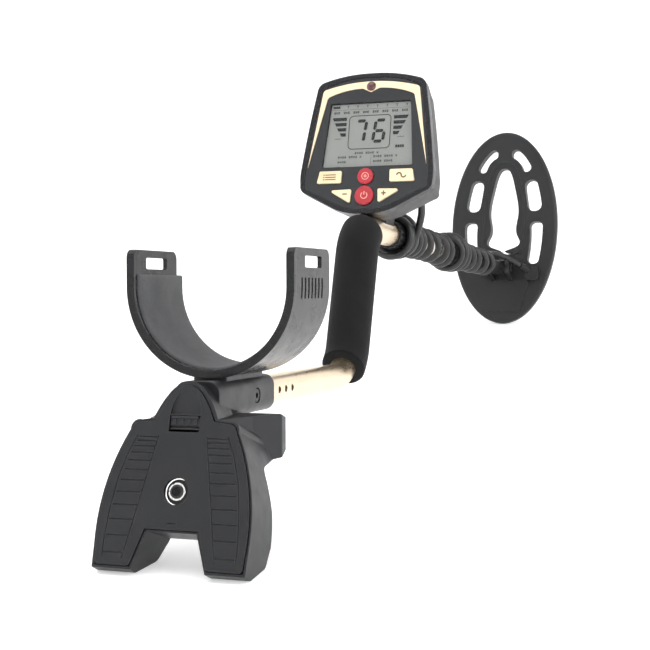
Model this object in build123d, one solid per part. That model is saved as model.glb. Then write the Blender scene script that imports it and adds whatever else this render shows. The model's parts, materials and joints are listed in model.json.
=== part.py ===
from build123d import *
import os
from math import atan2, cos, degrees, radians, sin, tan

# Metal detector: battery pod and arm cup, S-shaped handle tube, display, telescopic rod, search coil.
# Everything is drawn in the tube frame (X to the user's right, Y forward along the rear tube, Z up from
# the tube) and then tipped forward, so that the pod's feet and the coil's heel stand on Z = 0.

# ---- driving dimensions, millimetres and degrees
TIP_FORWARD = 8.03          # angle between the rear tube and the ground
TUBE_R = 11.1               # rear tube, outer radius
TUBE_BORE_R = 9.6
TUBE_REAR_Y = 32.0          # rear end of the S-tube, inside the pod's socket
LOWER_CORNER = (286.0, 0.0)     # (y, z) corner of the lower bend
UPPER_CORNER = (328.0, 131.0)   # (y, z) corner of the upper bend
TUBE_END = (425.3, 126.5)       # (y, z) front end of the S-tube
BEND_R = 36.0
GRIP_R = 19.0
GRIP_START = 0.528          # grip ends, as shares of the S-tube's centre line
GRIP_END = 0.812

MIDDLE_R = 9.5              # middle tube
MIDDLE_BORE_R = 8.3
MIDDLE_BACK = 60.0          # how far the middle tube sits inside the S-tube
MIDDLE_LENGTH = 212.0       # from the S-tube's end to the middle tube's end
ROD_R = 8.24                # lower rod, running fit in the middle tube
ROD_BORE_R = 6.2
ROD_BACK = 200.0            # retracted stretch inside the middle tube
COLLAR_R = 13.5
COLLAR_LENGTH = 24.0
CABLE_R = 3.5
PIVOT_BEHIND_PLATE = 20.0   # pivot axis to the coil's rear face
PIVOT_BELOW_CENTRE = 56.0

DOOR_LEAN = 17.1            # door leans forward of the tube's upright
DOOR_FOOT = (-58.6, -100.8)     # (y, z) of the door's bottom edge
DOOR_THICK = 3.0
DOOR_GAP = 0.35
JACK_V = 48.6               # jack centre, up the door
JACK_BORE_R = 3.2
NOTCH_V = 24.0

CUP_R = 60.8                # arm cup, outer radius
CUP_WALL = 3.0
CUP_BOTTOM_Z = 14.6
CUP_TOP_Z = 101.5
CUP_REAR_Y = 6.6
CUP_LENGTH = 70.0
PAD_THICK = 3.6
PAD_DROP = 17.0             # pad starts this far below the ear tops

SCREEN_LEAN = 12.5
SCREEN_FOOT = (347.4, 186.4)    # (y, z) of the LCD window's lower edge
SCREEN_DEPTH = 38.0
BEZEL_DEPTH = 9.0
LCD_HALF_BOTTOM = 43.0
LCD_HALF_TOP = 38.3
LCD_HEIGHT = 61.0
KEY_TRAVEL = 0.8
KEY_PROUD = 1.2

COIL_LEAN = 6.3
COIL_CENTRE = (930.4, 157.8)    # (y, z) of the plate's rear face at its centre
COIL_HALF_LENGTH = 127.0
COIL_HALF_WIDTH = 70.0
COIL_THICK = 13.0
COIL_EDGE_R = 4.0
RING_WIDTH = 18.3
HEEL_SOLID = 77.0           # solid stretch of the plate, from the heel


def leaning_plane(foot, lean):
    """A plane that faces the user, its local Y running up the face."""
    normal = (0, -cos(radians(lean)), sin(radians(lean)))
    return Plane(origin=(0, foot[0], foot[1]), x_dir=(1, 0, 0), z_dir=normal)


ROD_SLOPE = degrees(atan2(UPPER_CORNER[1] - TUBE_END[1], TUBE_END[0] - UPPER_CORNER[0]))
DOOR = leaning_plane(DOOR_FOOT, DOOR_LEAN)
SCREEN = leaning_plane(SCREEN_FOOT, SCREEN_LEAN)
COIL = leaning_plane(COIL_CENTRE, COIL_LEAN)
TUBE_AXIS = Plane(origin=(0, 0, 0), x_dir=(1, 0, 0), z_dir=(0, 1, 0))
ROD = Plane(
    origin=(0, TUBE_END[0], TUBE_END[1]),
    x_dir=(1, 0, 0),
    z_dir=(0, cos(radians(ROD_SLOPE)), -sin(radians(ROD_SLOPE))),
)
PIVOT = COIL.from_local_coords((0, -PIVOT_BELOW_CENTRE, PIVOT_BEHIND_PLATE))
PIVOT_AXIS = Plane(origin=PIVOT, x_dir=(0, 1, 0), z_dir=(1, 0, 0))
ROD_REACH = (PIVOT - ROD.origin).dot(ROD.z_dir)     # S-tube's end to the pivot, along the rod

parts = {}


def keep(name, *solids):
    """Record a node made of one or more separate solids."""
    found = []
    for solid in solids:
        found.extend(solid.solids())
    parts[name] = found


def slab(plane, sketch, low, high):
    """A sketch on a plane, extruded between two heights along the plane's normal."""
    return extrude(plane.offset(low) * sketch, amount=high - low)


def disc(plane, radius, low, high, x=0, y=0):
    """A cylinder along the plane's normal."""
    return slab(plane, Pos(x, y) * Circle(radius), low, high)


def ring(plane, outer, inner, low, high, x=0, y=0):
    """A hollow cylinder along the plane's normal."""
    return slab(plane, Pos(x, y) * (Circle(outer) - Circle(inner)), low, high)


def block(x_range, y_range, z_range):
    """A box between limits in the tube frame."""
    size = [high - low for low, high in (x_range, y_range, z_range)]
    middle = [(high + low) / 2 for low, high in (x_range, y_range, z_range)]
    return Pos(*middle) * Box(*size)


def mirrored(half):
    """A half sketch on the +X side together with its mirror image."""
    return half + mirror(half, Plane.YZ)


def ground_z(y):
    """Height of the ground line in the tube frame, set by the coil's heel."""
    across = COIL_THICK - COIL_EDGE_R
    edge = COIL.from_local_coords((0, COIL_EDGE_R - COIL_HALF_LENGTH, -across))
    rise = tan(radians(TIP_FORWARD))
    return edge.Z - COIL_EDGE_R / cos(radians(TIP_FORWARD)) + (y - edge.Y) * rise


# ---- rear tube and handle

def tube_path():
    """Centre line of the S-tube."""
    return FilletPolyline(
        (0, TUBE_REAR_Y, 0),
        (0, *LOWER_CORNER),
        (0, *UPPER_CORNER),
        (0, *TUBE_END),
        radius=BEND_R,
    )


HOLE_R = 2.65
HOLE_PITCH = 13.0
HOLES_Y = [106.5 + HOLE_PITCH * step for step in range(3)]
SLIDE_TRAVEL = HOLE_PITCH * 3


def make_s_tube():
    path = tube_path()
    section = Plane(origin=path @ 0, z_dir=path % 0) * (Circle(TUBE_R) - Circle(TUBE_BORE_R))
    body = sweep(section, path=path)
    for y in HOLES_Y:
        body -= Plane.YZ * Pos(y, 0) * extrude(Circle(HOLE_R), amount=2 * TUBE_R, both=True)
    keep("s_tube", body)


def make_grip():
    path = tube_path()
    section = Plane(origin=path @ 0, z_dir=path % 0) * (Circle(GRIP_R) - Circle(TUBE_R + 0.05))
    foam = sweep(section, path=path)
    foam = split(foam, bisect_by=Plane(origin=path @ GRIP_START, z_dir=path % GRIP_START), keep=Keep.TOP)
    foam = split(foam, bisect_by=Plane(origin=path @ GRIP_END, z_dir=path % GRIP_END), keep=Keep.BOTTOM)
    keep("hand_grip", foam)


# ---- battery pod

BULGE_FRONT_Y = 42.0
SHOULDER_Z = -9.5
SOCKET_FRONT_Y = 83.0
SOCKET_REAR_Y = -12.0
SOCKET_HALF = 16.0
SOCKET_BORE_R = TUBE_R + 0.06
SCREW_Y = 52.0
POD_GROW = 1.6              # housing outline stands this far outside the door
COLUMN_R = 8.2


def pod_outline(grow, bottom, tongue=True):
    """The A-shaped outline seen along the door's normal, grown sideways and upwards."""
    top = 117.8 + grow if tongue else 94.3 + grow
    neck = 20.5 + grow
    notch_foot = 27 - grow - 8 * (bottom / NOTCH_V)
    edges = [
        Line((0, NOTCH_V - grow), (19 - grow, NOTCH_V - grow)),
        Line((19 - grow, NOTCH_V - grow), (notch_foot, bottom)),
        Line((notch_foot, bottom), (51.2 + grow, bottom)),
        Line((51.2 + grow, bottom), (52.2 + grow, 14)),
        ThreePointArc((52.2 + grow, 14), (48.6 + grow, 56), (36.8 + grow, 88)),
        ThreePointArc((36.8 + grow, 88), (35 + grow, 91.6 + grow), (31, 93 + grow)),
        Line((31, 93 + grow), (neck, 94.3 + grow)),
    ]
    if tongue:
        edges.append(Bezier((neck, 94.3 + grow), (neck / 2, top), (0, top)))
    else:
        edges.append(Line((neck, 94.3 + grow), (0, top)))
    edges.append(Line((0, top), (0, NOTCH_V - grow)))
    return mirrored(make_face(edges))


def pod_side_outline():
    """The housing's outline seen from the side: foot, waist, bulge and flat shoulder."""
    points = [
        (-70, -94),
        (-60.5, -102),
        (-50, ground_z(-50)),
        (-26, ground_z(-26)),
        (-18, -92),
        (-12, -70),
        (-10, -42),
        (24, -39),
        (BULGE_FRONT_Y, -29),
        (36, -14),
        (22, SHOULDER_Z),
        (-70, SHOULDER_Z),
    ]
    face = make_face(Polyline(*points, close=True))
    soft = [v for v in face.vertices() if v.X > -55 and v.Y < -12]
    return fillet(soft, 5)


def tongue_outline(grow):
    """The arched neck alone, from below the shoulder to the peak."""
    neck = 20.5 + grow
    top = 117.8 + grow
    edges = [
        Line((0, 84), (neck, 84)),
        Line((neck, 84), (neck, 94.3)),
        Bezier((neck, 94.3), (neck / 2 + 1, top), (0, top)),
        Line((0, top), (0, 84)),
    ]
    return mirrored(make_face(edges))


def make_housing():
    side = extrude(Plane.YZ * pod_side_outline(), amount=60, both=True)
    legs = slab(DOOR, pod_outline(POD_GROW, -16, tongue=False), -90, -1.0)
    bulge_side = [(24, -34), (34.5, 0), (45.5, 24), (45, 33), (34, BULGE_FRONT_Y)]
    bulge_points = [(0, -34), *bulge_side, (0, BULGE_FRONT_Y)]
    bulge_half = make_face(Polyline(*bulge_points, close=True))
    bulge_top = mirrored(bulge_half)
    corners = [v for v in bulge_top.vertices() if v.Y > 10 and abs(v.X) > 10]
    bulge_top = fillet(corners, 4)
    bulge = Pos(0, 0, -50) * extrude(bulge_top, amount=50)
    rear_limit = slab(DOOR, Rectangle(200, 400), -120, -1.0)
    body = (legs + bulge) & side & rear_limit
    hood = slab(DOOR, tongue_outline(3.0), -34, -1.0)
    socket_face = RectangleRounded(2 * SOCKET_HALF, 26, 8)
    socket = slab(TUBE_AXIS, Pos(0, -0.4) * socket_face, SOCKET_REAR_Y, SOCKET_FRONT_Y)
    plinth = block((-12, 12), (CUP_REAR_Y + 2, CUP_REAR_Y + CUP_LENGTH - 6), (8, CUP_BOTTOM_Z + 2))
    body = body + hood + socket + plinth
    cup_axis_z = CUP_BOTTOM_Z + CUP_R
    body -= slab(TUBE_AXIS, Pos(0, -cup_axis_z) * Circle(CUP_R), CUP_REAR_Y - 1, 100)
    body -= slab(TUBE_AXIS, Pos(0, -cup_axis_z) * Circle(CUP_R + 0.65), CUP_REAR_Y - 1, CUP_REAR_Y + 4.6)
    body -= disc(TUBE_AXIS, SOCKET_BORE_R, SOCKET_REAR_Y + 3, SOCKET_FRONT_Y + 1)
    body -= slab(DOOR, pod_outline(DOOR_GAP, -DOOR_GAP), -DOOR_THICK - 0.2, 5)
    body -= housing_cavity()
    column = disc(DOOR, COLUMN_R, -44, -3.6, y=JACK_V)
    body += column
    body -= disc(DOOR, 6.6, -41, -6, y=JACK_V)
    body -= disc(DOOR, 4.6, -7, 0, y=JACK_V)
    screw_seat = Plane(origin=(SOCKET_HALF, SCREW_Y, 0), z_dir=(1, 0, 0))
    body -= disc(screw_seat, 5.5, -2.8, 1)
    body -= disc(screw_seat, 2.55, -6, 1)
    for y in CUP_SCREWS_Y:
        body -= disc(Plane.XY.offset(CUP_BOTTOM_Z), 1.9, -6.5, 3, y=y)
    keep("battery_housing", body)


CUP_SCREWS_Y = (26.0, 60.0)


def housing_cavity():
    """Space for the batteries behind the door, and the hollow of the forward bulge."""
    main = slab(DOOR, pod_outline(-2.4, 0.5, tongue=False), -41, -DOOR_THICK)
    main &= slab(DOOR, Pos(0, 44) * Rectangle(120, 92), -60, 0)
    bulge = block((-28, 28), (-24, 30), (-33, -14.5))
    return main + bulge


def make_door():
    outline = pod_outline(0, 0)
    feet = [v for v in outline.vertices() if v.Y < 1]
    outline = fillet(feet, 2.5)
    door = slab(DOOR, outline, -DOOR_THICK, 0)
    door -= disc(DOOR, COLUMN_R + 0.5, -DOOR_THICK - 1, 1, y=JACK_V)
    door -= slab(DOOR, Pos(0, LATCH_V) * Rectangle(21.6, 10.8), -DOOR_THICK - 1, 1)
    scoop_edges = [
        Line((0, 98.6), (10.8, 98.6)),
        Bezier((10.8, 98.6), (8.5, 114.6), (0, 114.6)),
        Line((0, 114.6), (0, 98.6)),
    ]
    scoop = slab(DOOR, mirrored(make_face(scoop_edges)), -2.5, 1)
    scoop &= DOOR * Pos(0, 115, -0.2) * Rot(X=8) * Pos(0, -15, 5) * Box(40, 40, 10)
    door -= scoop
    for side in (-1, 1):
        for column_edge in (COLUMN_INNER, COLUMN_OUTER):
            line = Polyline(*[(side * x, v) for x, v in column_edge])
            door -= slab(DOOR, trace(line, GROOVE * 0.7), -0.6, 1)
    for step in range(12):
        v = 83.0 - 2.23 * step - 0.418 * step * step
        inner = 17.6 + 14 * (83.0 - v) / 75
        outer = 31.6 + 14.1 * (1 - ((v - 8) / 75) ** 2)
        for side in (-1, 1):
            groove = Pos(side * (inner + outer) / 2, v) * Rectangle(outer - inner, GROOVE)
            door -= slab(DOOR, groove, -0.8, 1)
    door -= slab(DOOR, Pos(0, 28) * Rectangle(5.8, 1.1), -0.8, 1)
    keep("battery_door", door)


GROOVE = 1.0
COLUMN_INNER = [(17.0, 84.5), (32.2, 4.5)]
COLUMN_OUTER = [(31.8, 84.5), (37.4, 72), (42.3, 55), (45.3, 35), (46.6, 14), (46.4, 4.5)]
LATCH_V = 92.3
LATCH_TRAVEL = 2.0


def make_latch():
    tab = slab(DOOR, Pos(0, LATCH_V + 1.9) * Rectangle(20.8, 6.2), -2.9, -1.1)
    for rib in range(4):
        tab += slab(DOOR, Pos(5.0 * rib - 7.5, LATCH_V + 1.9) * Rectangle(2.2, 4.6), -1.2, -0.4)
    lip = slab(DOOR, Pos(0, LATCH_V + 4.2) * Rectangle(19.0, 1.6), -1.2, 0.4)
    keep("door_latch", tab + lip)


def make_jack():
    body = disc(DOOR, 6.3, -24, -6.2, y=JACK_V)
    body += disc(DOOR, 4.5, -6.3, -0.9, y=JACK_V)
    body -= disc(DOOR, JACK_BORE_R, -20, 0, y=JACK_V)
    keep("headphone_jack", body)
    nut = ring(DOOR, 5.8, 4.55, -3.6, -1.5, y=JACK_V)
    for turn in range(6):
        nut -= DOOR * Pos(0, JACK_V, -1.5) * Rot(Z=60 * turn) * Pos(5.8, 0, 0) * Box(1.6, 1.2, 1.4)
    keep("jack_nut", nut)
    tabs = []
    for side in (-1, 1):
        tabs.append(slab(DOOR, Pos(side * 3.4, JACK_V) * Rectangle(2.2, 0.5), -31, -24))
    keep("jack_terminals", *tabs)


CELL_R = 7.25
CELL_X = 33.8
CELL_DEPTHS = (-13.6, -29.4)
CELL_LOW_V = 17.4


def make_batteries():
    trays = []
    cells = []
    contacts = []
    for side in (-1, 1):
        x = side * CELL_X
        tray = slab(DOOR, Pos(x, 42) * Rectangle(16.2, 56), -37.6, -5)
        for order, depth in enumerate(CELL_DEPTHS):
            along = Plane(origin=DOOR.from_local_coords((x, 0, depth)), x_dir=(1, 0, 0), z_dir=DOOR.y_dir)
            tray -= disc(along, CELL_R + 0.15, 15.6, 68.4)
            cell = disc(along, CELL_R, CELL_LOW_V, CELL_LOW_V + 49)
            nub_low = CELL_LOW_V + 49 if order else CELL_LOW_V - 1
            cells.append(cell + disc(along, 2.75, nub_low, nub_low + 1))
            contacts.append(disc(along, 5.2, 15.6, 16.2))
            contacts.append(disc(along, 5.2, 67.8, 68.4))
        tray -= slab(DOOR, Pos(x, 42) * Rectangle(12.6, 52.8), CELL_DEPTHS[0], 0)
        tray -= slab(DOOR, Pos(x, 42) * Rectangle(8, 44), CELL_DEPTHS[1], CELL_DEPTHS[0])
        trays.append(tray)
    keep("battery_trays", *trays)
    keep("battery_cells", *cells)
    keep("battery_contacts", *contacts)


def make_socket_screw():
    seat = Plane(origin=(SOCKET_HALF, SCREW_Y, 0), z_dir=(1, 0, 0))
    screw = disc(seat, 4.6, -2.7, -0.4)
    screw += disc(seat, 2.5, -SOCKET_HALF + TUBE_R + 0.15, -2.6)
    screw -= slab(seat, RegularPolygon(2.3, 6), -2.0, 0)
    keep("socket_screw", screw)


# ---- arm cup

def cup_band(outer, thick, low, high, rear, front):
    """A U-shaped band round the arm: half circle below, straight sides above."""
    centre = CUP_BOTTOM_Z + CUP_R
    inner = outer - thick
    half_disc = Circle(outer) - Circle(inner)
    half_disc &= Pos(0, outer / 2) * Rectangle(2 * outer, outer)
    band = slab(TUBE_AXIS, Pos(0, -centre) * half_disc, rear, front)
    for side in (-1, 1):
        x_range = sorted((side * inner, side * outer))
        band += block(x_range, (rear, front), (centre - 0.5, high))
    if low > 0:
        band -= block((-outer, outer), (rear - 1, front + 1), (-10, low))
    return band


def make_cup():
    rear = CUP_REAR_Y
    front = CUP_REAR_Y + CUP_LENGTH
    cup = cup_band(CUP_R, CUP_WALL, 0, CUP_TOP_Z, rear, front)
    cup += cup_band(CUP_R + 0.6, 5.6, 0, CUP_TOP_Z, rear, rear + 4.5)
    for side in (-1, 1):
        slot_plane = Plane(origin=(side * CUP_R, rear + 38, CUP_TOP_Z - 9.2), x_dir=(0, 1, 0), z_dir=(1, 0, 0))
        cup -= slab(slot_plane, RectangleRounded(32, 8, 1.8), -8, 8)
    height = 200
    side_view = Pos(rear + CUP_LENGTH / 2, CUP_TOP_Z - height / 2) * RectangleRounded(CUP_LENGTH, height, 6)
    cup &= extrude(Plane.YZ * side_view, amount=2 * CUP_R, both=True)
    for side in (-1, 1):
        for column in range(7):
            y = rear + 16 + 6.5 * column
            cup -= Pos(side * CUP_R, y, CUP_TOP_Z - 27) * Box(1.8, 2.8, 14)
    for y in CUP_SCREWS_Y:
        cup -= disc(Plane.XY.offset(CUP_BOTTOM_Z), 2.1, -2, 6, y=y)
        cup -= disc(Plane.XY.offset(CUP_BOTTOM_Z + CUP_WALL), 4.2, 0.04, 4, y=y)
    keep("arm_cup", cup)
    pad_outer = CUP_R - CUP_WALL - 0.1
    pad = cup_band(pad_outer, PAD_THICK, 0, CUP_TOP_Z - PAD_DROP, rear + 4.8, front + 3)
    screws = []
    for y in CUP_SCREWS_Y:
        base = Plane.XY.offset(CUP_BOTTOM_Z + CUP_WALL)
        pad -= disc(base, 4.6, -1, 2.6, y=y)
        screws.append(disc(base, 4.0, 0.05, 2.2, y=y) + disc(base, 1.85, -5.9, 0.1, y=y))
    keep("arm_pad", pad)
    keep("cup_screws", *screws)


# ---- display

def screen_outline(grow):
    """The housing's arched shield shape on the screen plane."""
    edges = [
        ThreePointArc((0, 88.7 + grow), (26, 86.9 + grow), (45 + grow, 82.4 + grow)),
        ThreePointArc((45 + grow, 82.4 + grow), (50.3 + grow, 79 + grow), (52.4 + grow, 73)),
        ThreePointArc((52.4 + grow, 73), (58.2 + grow, 36), (62.6 + grow, 0)),
        ThreePointArc((62.6 + grow, 0), (63.2 + grow, -9), (62.7 + grow, -16)),
        ThreePointArc((62.7 + grow, -16), (61.6 + grow, -21), (57.6 + grow * 0.7, -24.5 - grow * 0.6)),
        Line((57.6 + grow * 0.7, -24.5 - grow * 0.6), (30 + grow * 0.4, -39 - grow)),
        ThreePointArc((30 + grow * 0.4, -39 - grow), (16, -43.6 - grow), (0, -44.5 - grow)),
        Line((0, -44.5 - grow), (0, 88.7 + grow)),
    ]
    return mirrored(make_face(edges))


def window_outline(grow):
    points = [
        (LCD_HALF_BOTTOM + grow, -grow),
        (LCD_HALF_TOP + grow, LCD_HEIGHT + grow),
        (-LCD_HALF_TOP - grow, LCD_HEIGHT + grow),
        (-LCD_HALF_BOTTOM - grow, -grow),
    ]
    face = make_face(Polyline(*points, close=True))
    return fillet(face.vertices(), 1.5 + grow)


def soft_polygon(points, radius):
    face = make_face(Polyline(*points, close=True))
    return fillet(face.vertices(), radius)


def mirror_points(points):
    return [(-x, y) for x, y in reversed(points)]


FUNCTION_KEY = [(22.8, -4.2), (44.0, -4.2), (46.2, -15.6), (23.2, -15.6)]
STEP_KEY = [(12.6, -22.0), (34.0, -22.6), (13.4, -35.0)]
ROUND_KEYS = {"pinpoint_key": (-9.8, 7.4), "power_key": (-27.9, 8.8)}


def key_outlines():
    """Each key's outline on the screen plane, by name."""
    outlines = {
        "menu_key": soft_polygon(mirror_points(FUNCTION_KEY), 1.2),
        "frequency_key": soft_polygon(FUNCTION_KEY, 1.2),
        "minus_key": soft_polygon(mirror_points(STEP_KEY), 1.2),
        "plus_key": soft_polygon(STEP_KEY, 1.2),
    }
    for name, (v, radius) in ROUND_KEYS.items():
        outlines[name] = Pos(0, v) * Circle(radius)
    return outlines


KEY_CENTRES = {
    "menu_key": (-34.0, -10.0),
    "frequency_key": (34.0, -10.0),
    "minus_key": (-19.5, -26.0),
    "plus_key": (19.5, -26.0),
    "pinpoint_key": (0.0, -9.8),
    "power_key": (0.0, -27.9),
}


def trim_outline():
    """Champagne arch: two tapering side bars joined by a band under the arched top."""
    edges = [
        Line((56.4, 0), (46.4, 71.5)),
        ThreePointArc((46.4, 71.5), (45.3, 73.8), (42.8, 74.9)),
        ThreePointArc((42.8, 74.9), (22, 79.3), (0, 80.7)),
        Line((0, 80.7), (0, 70.4)),
        Line((0, 70.4), (8, 74.2)),
        ThreePointArc((8, 74.2), (24, 72.6), (40.4, 67.4)),
        Line((40.4, 67.4), (41.9, 65.4)),
        Line((41.9, 65.4), (56.4, 0)),
    ]
    return mirrored(make_face(edges))


def make_display():
    outlines = key_outlines()
    bezel = slab(SCREEN, screen_outline(0), -BEZEL_DEPTH, 0)
    bezel -= slab(SCREEN, screen_outline(-2.6), -BEZEL_DEPTH - 1, -4.4)
    bezel -= slab(SCREEN, screen_outline(-4.2), -1.4, 1)
    bezel -= slab(SCREEN, window_outline(0.2), -BEZEL_DEPTH, 1)
    overlay = slab(SCREEN, screen_outline(-4.5), -1.4, -0.6)
    overlay -= slab(SCREEN, window_outline(0.1), -3, 1)
    for name, outline in outlines.items():
        cut = slab(SCREEN, offset(outline, 0.35), -BEZEL_DEPTH - 1, 2)
        bezel -= cut
        overlay -= cut
        cap = slab(SCREEN, outline, -5.2, KEY_PROUD)
        flange = slab(SCREEN, offset(outline, 0.7), -6.2, -5.2)
        keep(name, cap + flange)
    keep("front_bezel", bezel)
    keep("overlay", overlay)
    keep("arch_trim", slab(SCREEN, trim_outline(), -0.6, 0.3))
    stud = SCREEN * Pos(0, 76, 0.3) * scale(Sphere(1), by=(4.5, 4.5, 1.6))
    stud &= slab(SCREEN, Rectangle(200, 400), 0.3, 10)
    keep("trim_stud", stud)
    keep("screen_lens", slab(SCREEN, window_outline(0), -2.6, -0.7))
    keep("lcd_panel", slab(SCREEN, window_outline(-0.4), -6.4, -2.8))
    make_electronics()
    make_rear_shell()


BOARD_LOW = -11.6
BOARD_HIGH = -10.0
BOSS_PLACES = [(-42, 70), (42, 70), (-51.5, 8), (51.5, 8)]


def make_electronics():
    board = slab(SCREEN, screen_outline(-6.5), BOARD_LOW, BOARD_HIGH)
    for x, v in BOSS_PLACES:
        board -= disc(SCREEN, 3.6, BOARD_LOW - 1, BOARD_HIGH + 1, x=x, y=v)
    keep("circuit_board", board)
    switches = []
    for x, v in KEY_CENTRES.values():
        switches.append(disc(SCREEN, 2.6, BOARD_HIGH, -6.2 - KEY_TRAVEL - 0.15, x=x, y=v))
    keep("key_switches", *switches)
    backlight = slab(SCREEN, Pos(0, 30) * Rectangle(74, 56), BOARD_HIGH, -6.5)
    keep("backlight", backlight)
    chips = []
    for x, v, width, height in [(-18, 26, 14, 14), (12, 34, 10, 7), (24, 12, 8, 18), (-26, -4, 6, 6)]:
        chips.append(slab(SCREEN, Pos(x, v) * Rectangle(width, height), BOARD_LOW - 1.8, BOARD_LOW))
    for x, v in [(-34, 52), (-22, 52), (30, 52)]:
        chips.append(disc(SCREEN, 4, BOARD_LOW - 9, BOARD_LOW, x=x, y=v))
    keep("board_components", *chips)
    speaker = disc(SCREEN, 18, -32, -29.5, y=32) + disc(SCREEN, 9, -29.6, -24, y=32)
    keep("speaker", speaker)


SHELL_WALL = 2.6
BACK_NARROWING = 3.6
CONNECTOR = (30.0, -8.0)
BRACKET_SCREWS_X = (-11, 11)
BRACKET_V = -18


def tapered_shell(grow, depth):
    """A solid from the bezel's back to a depth, narrowing towards the back."""
    front = SCREEN.offset(-BEZEL_DEPTH) * screen_outline(grow)
    back = SCREEN.offset(-depth) * screen_outline(grow - BACK_NARROWING)
    return loft([front, back])


def make_rear_shell():
    shell = tapered_shell(0, SCREEN_DEPTH) - tapered_shell(-SHELL_WALL, SCREEN_DEPTH - 3)
    for x, v in BOSS_PLACES:
        shell += disc(SCREEN, 3.2, -SCREEN_DEPTH + 2, -BEZEL_DEPTH, x=x, y=v)
        shell -= disc(SCREEN, 1.6, -SCREEN_DEPTH - 1, -BEZEL_DEPTH + 1, x=x, y=v)
    for row in range(5):
        shell -= slab(SCREEN, Pos(0, 20 + 6 * row) * SlotOverall(26, 2.2), -SCREEN_DEPTH - 1, -SCREEN_DEPTH + 4)
    shell += ring(SCREEN, 20.5, 18.2, -SCREEN_DEPTH + 2, -29.4, y=32)
    shell -= disc(SCREEN, 6.1, -SCREEN_DEPTH - 1, -SCREEN_DEPTH + 5, x=CONNECTOR[0], y=CONNECTOR[1])
    for x in BRACKET_SCREWS_X:
        shell -= disc(SCREEN, 1.62, -SCREEN_DEPTH - 1, -SCREEN_DEPTH + 4, x=x, y=BRACKET_V)
    shell -= disc(ROD, TUBE_R + 0.5, -110, 10)
    keep("rear_shell", shell)
    screws = []
    for x, v in BOSS_PLACES:
        head = disc(SCREEN, 2.8, -SCREEN_DEPTH - 1.6, -SCREEN_DEPTH - 0.02, x=x, y=v)
        screws.append(head + disc(SCREEN, 1.5, -SCREEN_DEPTH - 0.1, -BEZEL_DEPTH + 0.5, x=x, y=v))
    keep("shell_screws", *screws)


def make_bracket():
    """Saddle on top of the tube, with a neck up to the display's back."""
    saddle = block((-9, 9), (378, 405), (131, 152))
    back = SCREEN.offset(-SCREEN_DEPTH - 0.1)
    plate = slab(back, Pos(0, BRACKET_V) * RectangleRounded(30, 24, 3), -4, 0)
    neck = block((-8, 8), (374, 402), (131, 168))
    neck &= slab(SCREEN, Rectangle(200, 400), -SCREEN_DEPTH - 24, -SCREEN_DEPTH - 0.1)
    saddle &= slab(SCREEN, Rectangle(200, 400), -90, -SCREEN_DEPTH - 0.1)
    body = plate + neck + (saddle & disc(ROD, TUBE_R + 7, -60, 0))
    body -= disc(ROD, TUBE_R + 0.02, -80, 20)
    for x in BRACKET_SCREWS_X:
        body -= disc(back, 1.7, -6, 2, x=x, y=BRACKET_V)
    keep("display_bracket", body)
    screws = []
    for x in BRACKET_SCREWS_X:
        head = disc(back, 3.0, -6, -4.02, x=x, y=BRACKET_V)
        screws.append(head + disc(back, 1.6, -4.1, 2.0, x=x, y=BRACKET_V))
    keep("bracket_screws", *screws)


def make_connector():
    socket = ring(SCREEN, 8.0, 4.6, -SCREEN_DEPTH - 3, -SCREEN_DEPTH - 0.1, x=CONNECTOR[0], y=CONNECTOR[1])
    socket += ring(SCREEN, 6.0, 4.6, -SCREEN_DEPTH - 9, -SCREEN_DEPTH + 4, x=CONNECTOR[0], y=CONNECTOR[1])
    keep("coil_socket", socket)
    plug = ring(SCREEN, 7.4, 6.1, -SCREEN_DEPTH - 12, -SCREEN_DEPTH - 3.2, x=CONNECTOR[0], y=CONNECTOR[1])
    plug += ring(SCREEN, 6.6, CABLE_R, -SCREEN_DEPTH - 22, -SCREEN_DEPTH - 12, x=CONNECTOR[0], y=CONNECTOR[1])
    plug += disc(SCREEN, 4.4, -SCREEN_DEPTH - 13, -SCREEN_DEPTH - 2, x=CONNECTOR[0], y=CONNECTOR[1])
    for turn in range(16):
        notch = Rot(Z=22.5 * turn) * Pos(7.5, 0, 0) * Box(0.8, 0.8, 6)
        plug -= SCREEN * Pos(CONNECTOR[0], CONNECTOR[1], -SCREEN_DEPTH - 8) * notch
    keep("coil_plug", plug)


# ---- telescopic rod

def make_middle_tube():
    keep("middle_tube", ring(ROD, MIDDLE_R, MIDDLE_BORE_R, -MIDDLE_BACK, MIDDLE_LENGTH))


def collar(name, start, thread_r, nose_r, bush_name):
    """A fluted twist lock over a tube's end, with the split bush it squeezes."""
    body = ring(ROD, COLLAR_R, thread_r + 0.06, start, start + COLLAR_LENGTH)
    body += ring(ROD, COLLAR_R - 1, nose_r + 0.3, start + COLLAR_LENGTH - 4, start + COLLAR_LENGTH)
    for turn in range(14):
        flute = Rot(Z=360 / 14 * turn) * Pos(COLLAR_R + 1.4, 0, start + COLLAR_LENGTH / 2)
        body -= ROD * flute * Cylinder(2.1, COLLAR_LENGTH + 2)
    keep(name, body)
    bush_low = start + COLLAR_LENGTH - 12
    bush = ring(ROD, thread_r - 0.3, nose_r + 0.03, bush_low, bush_low + 7)
    bush -= ROD * Pos(0, -nose_r - 1, bush_low + 4) * Box(1.2, 6, 10)
    keep(bush_name, bush)


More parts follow.
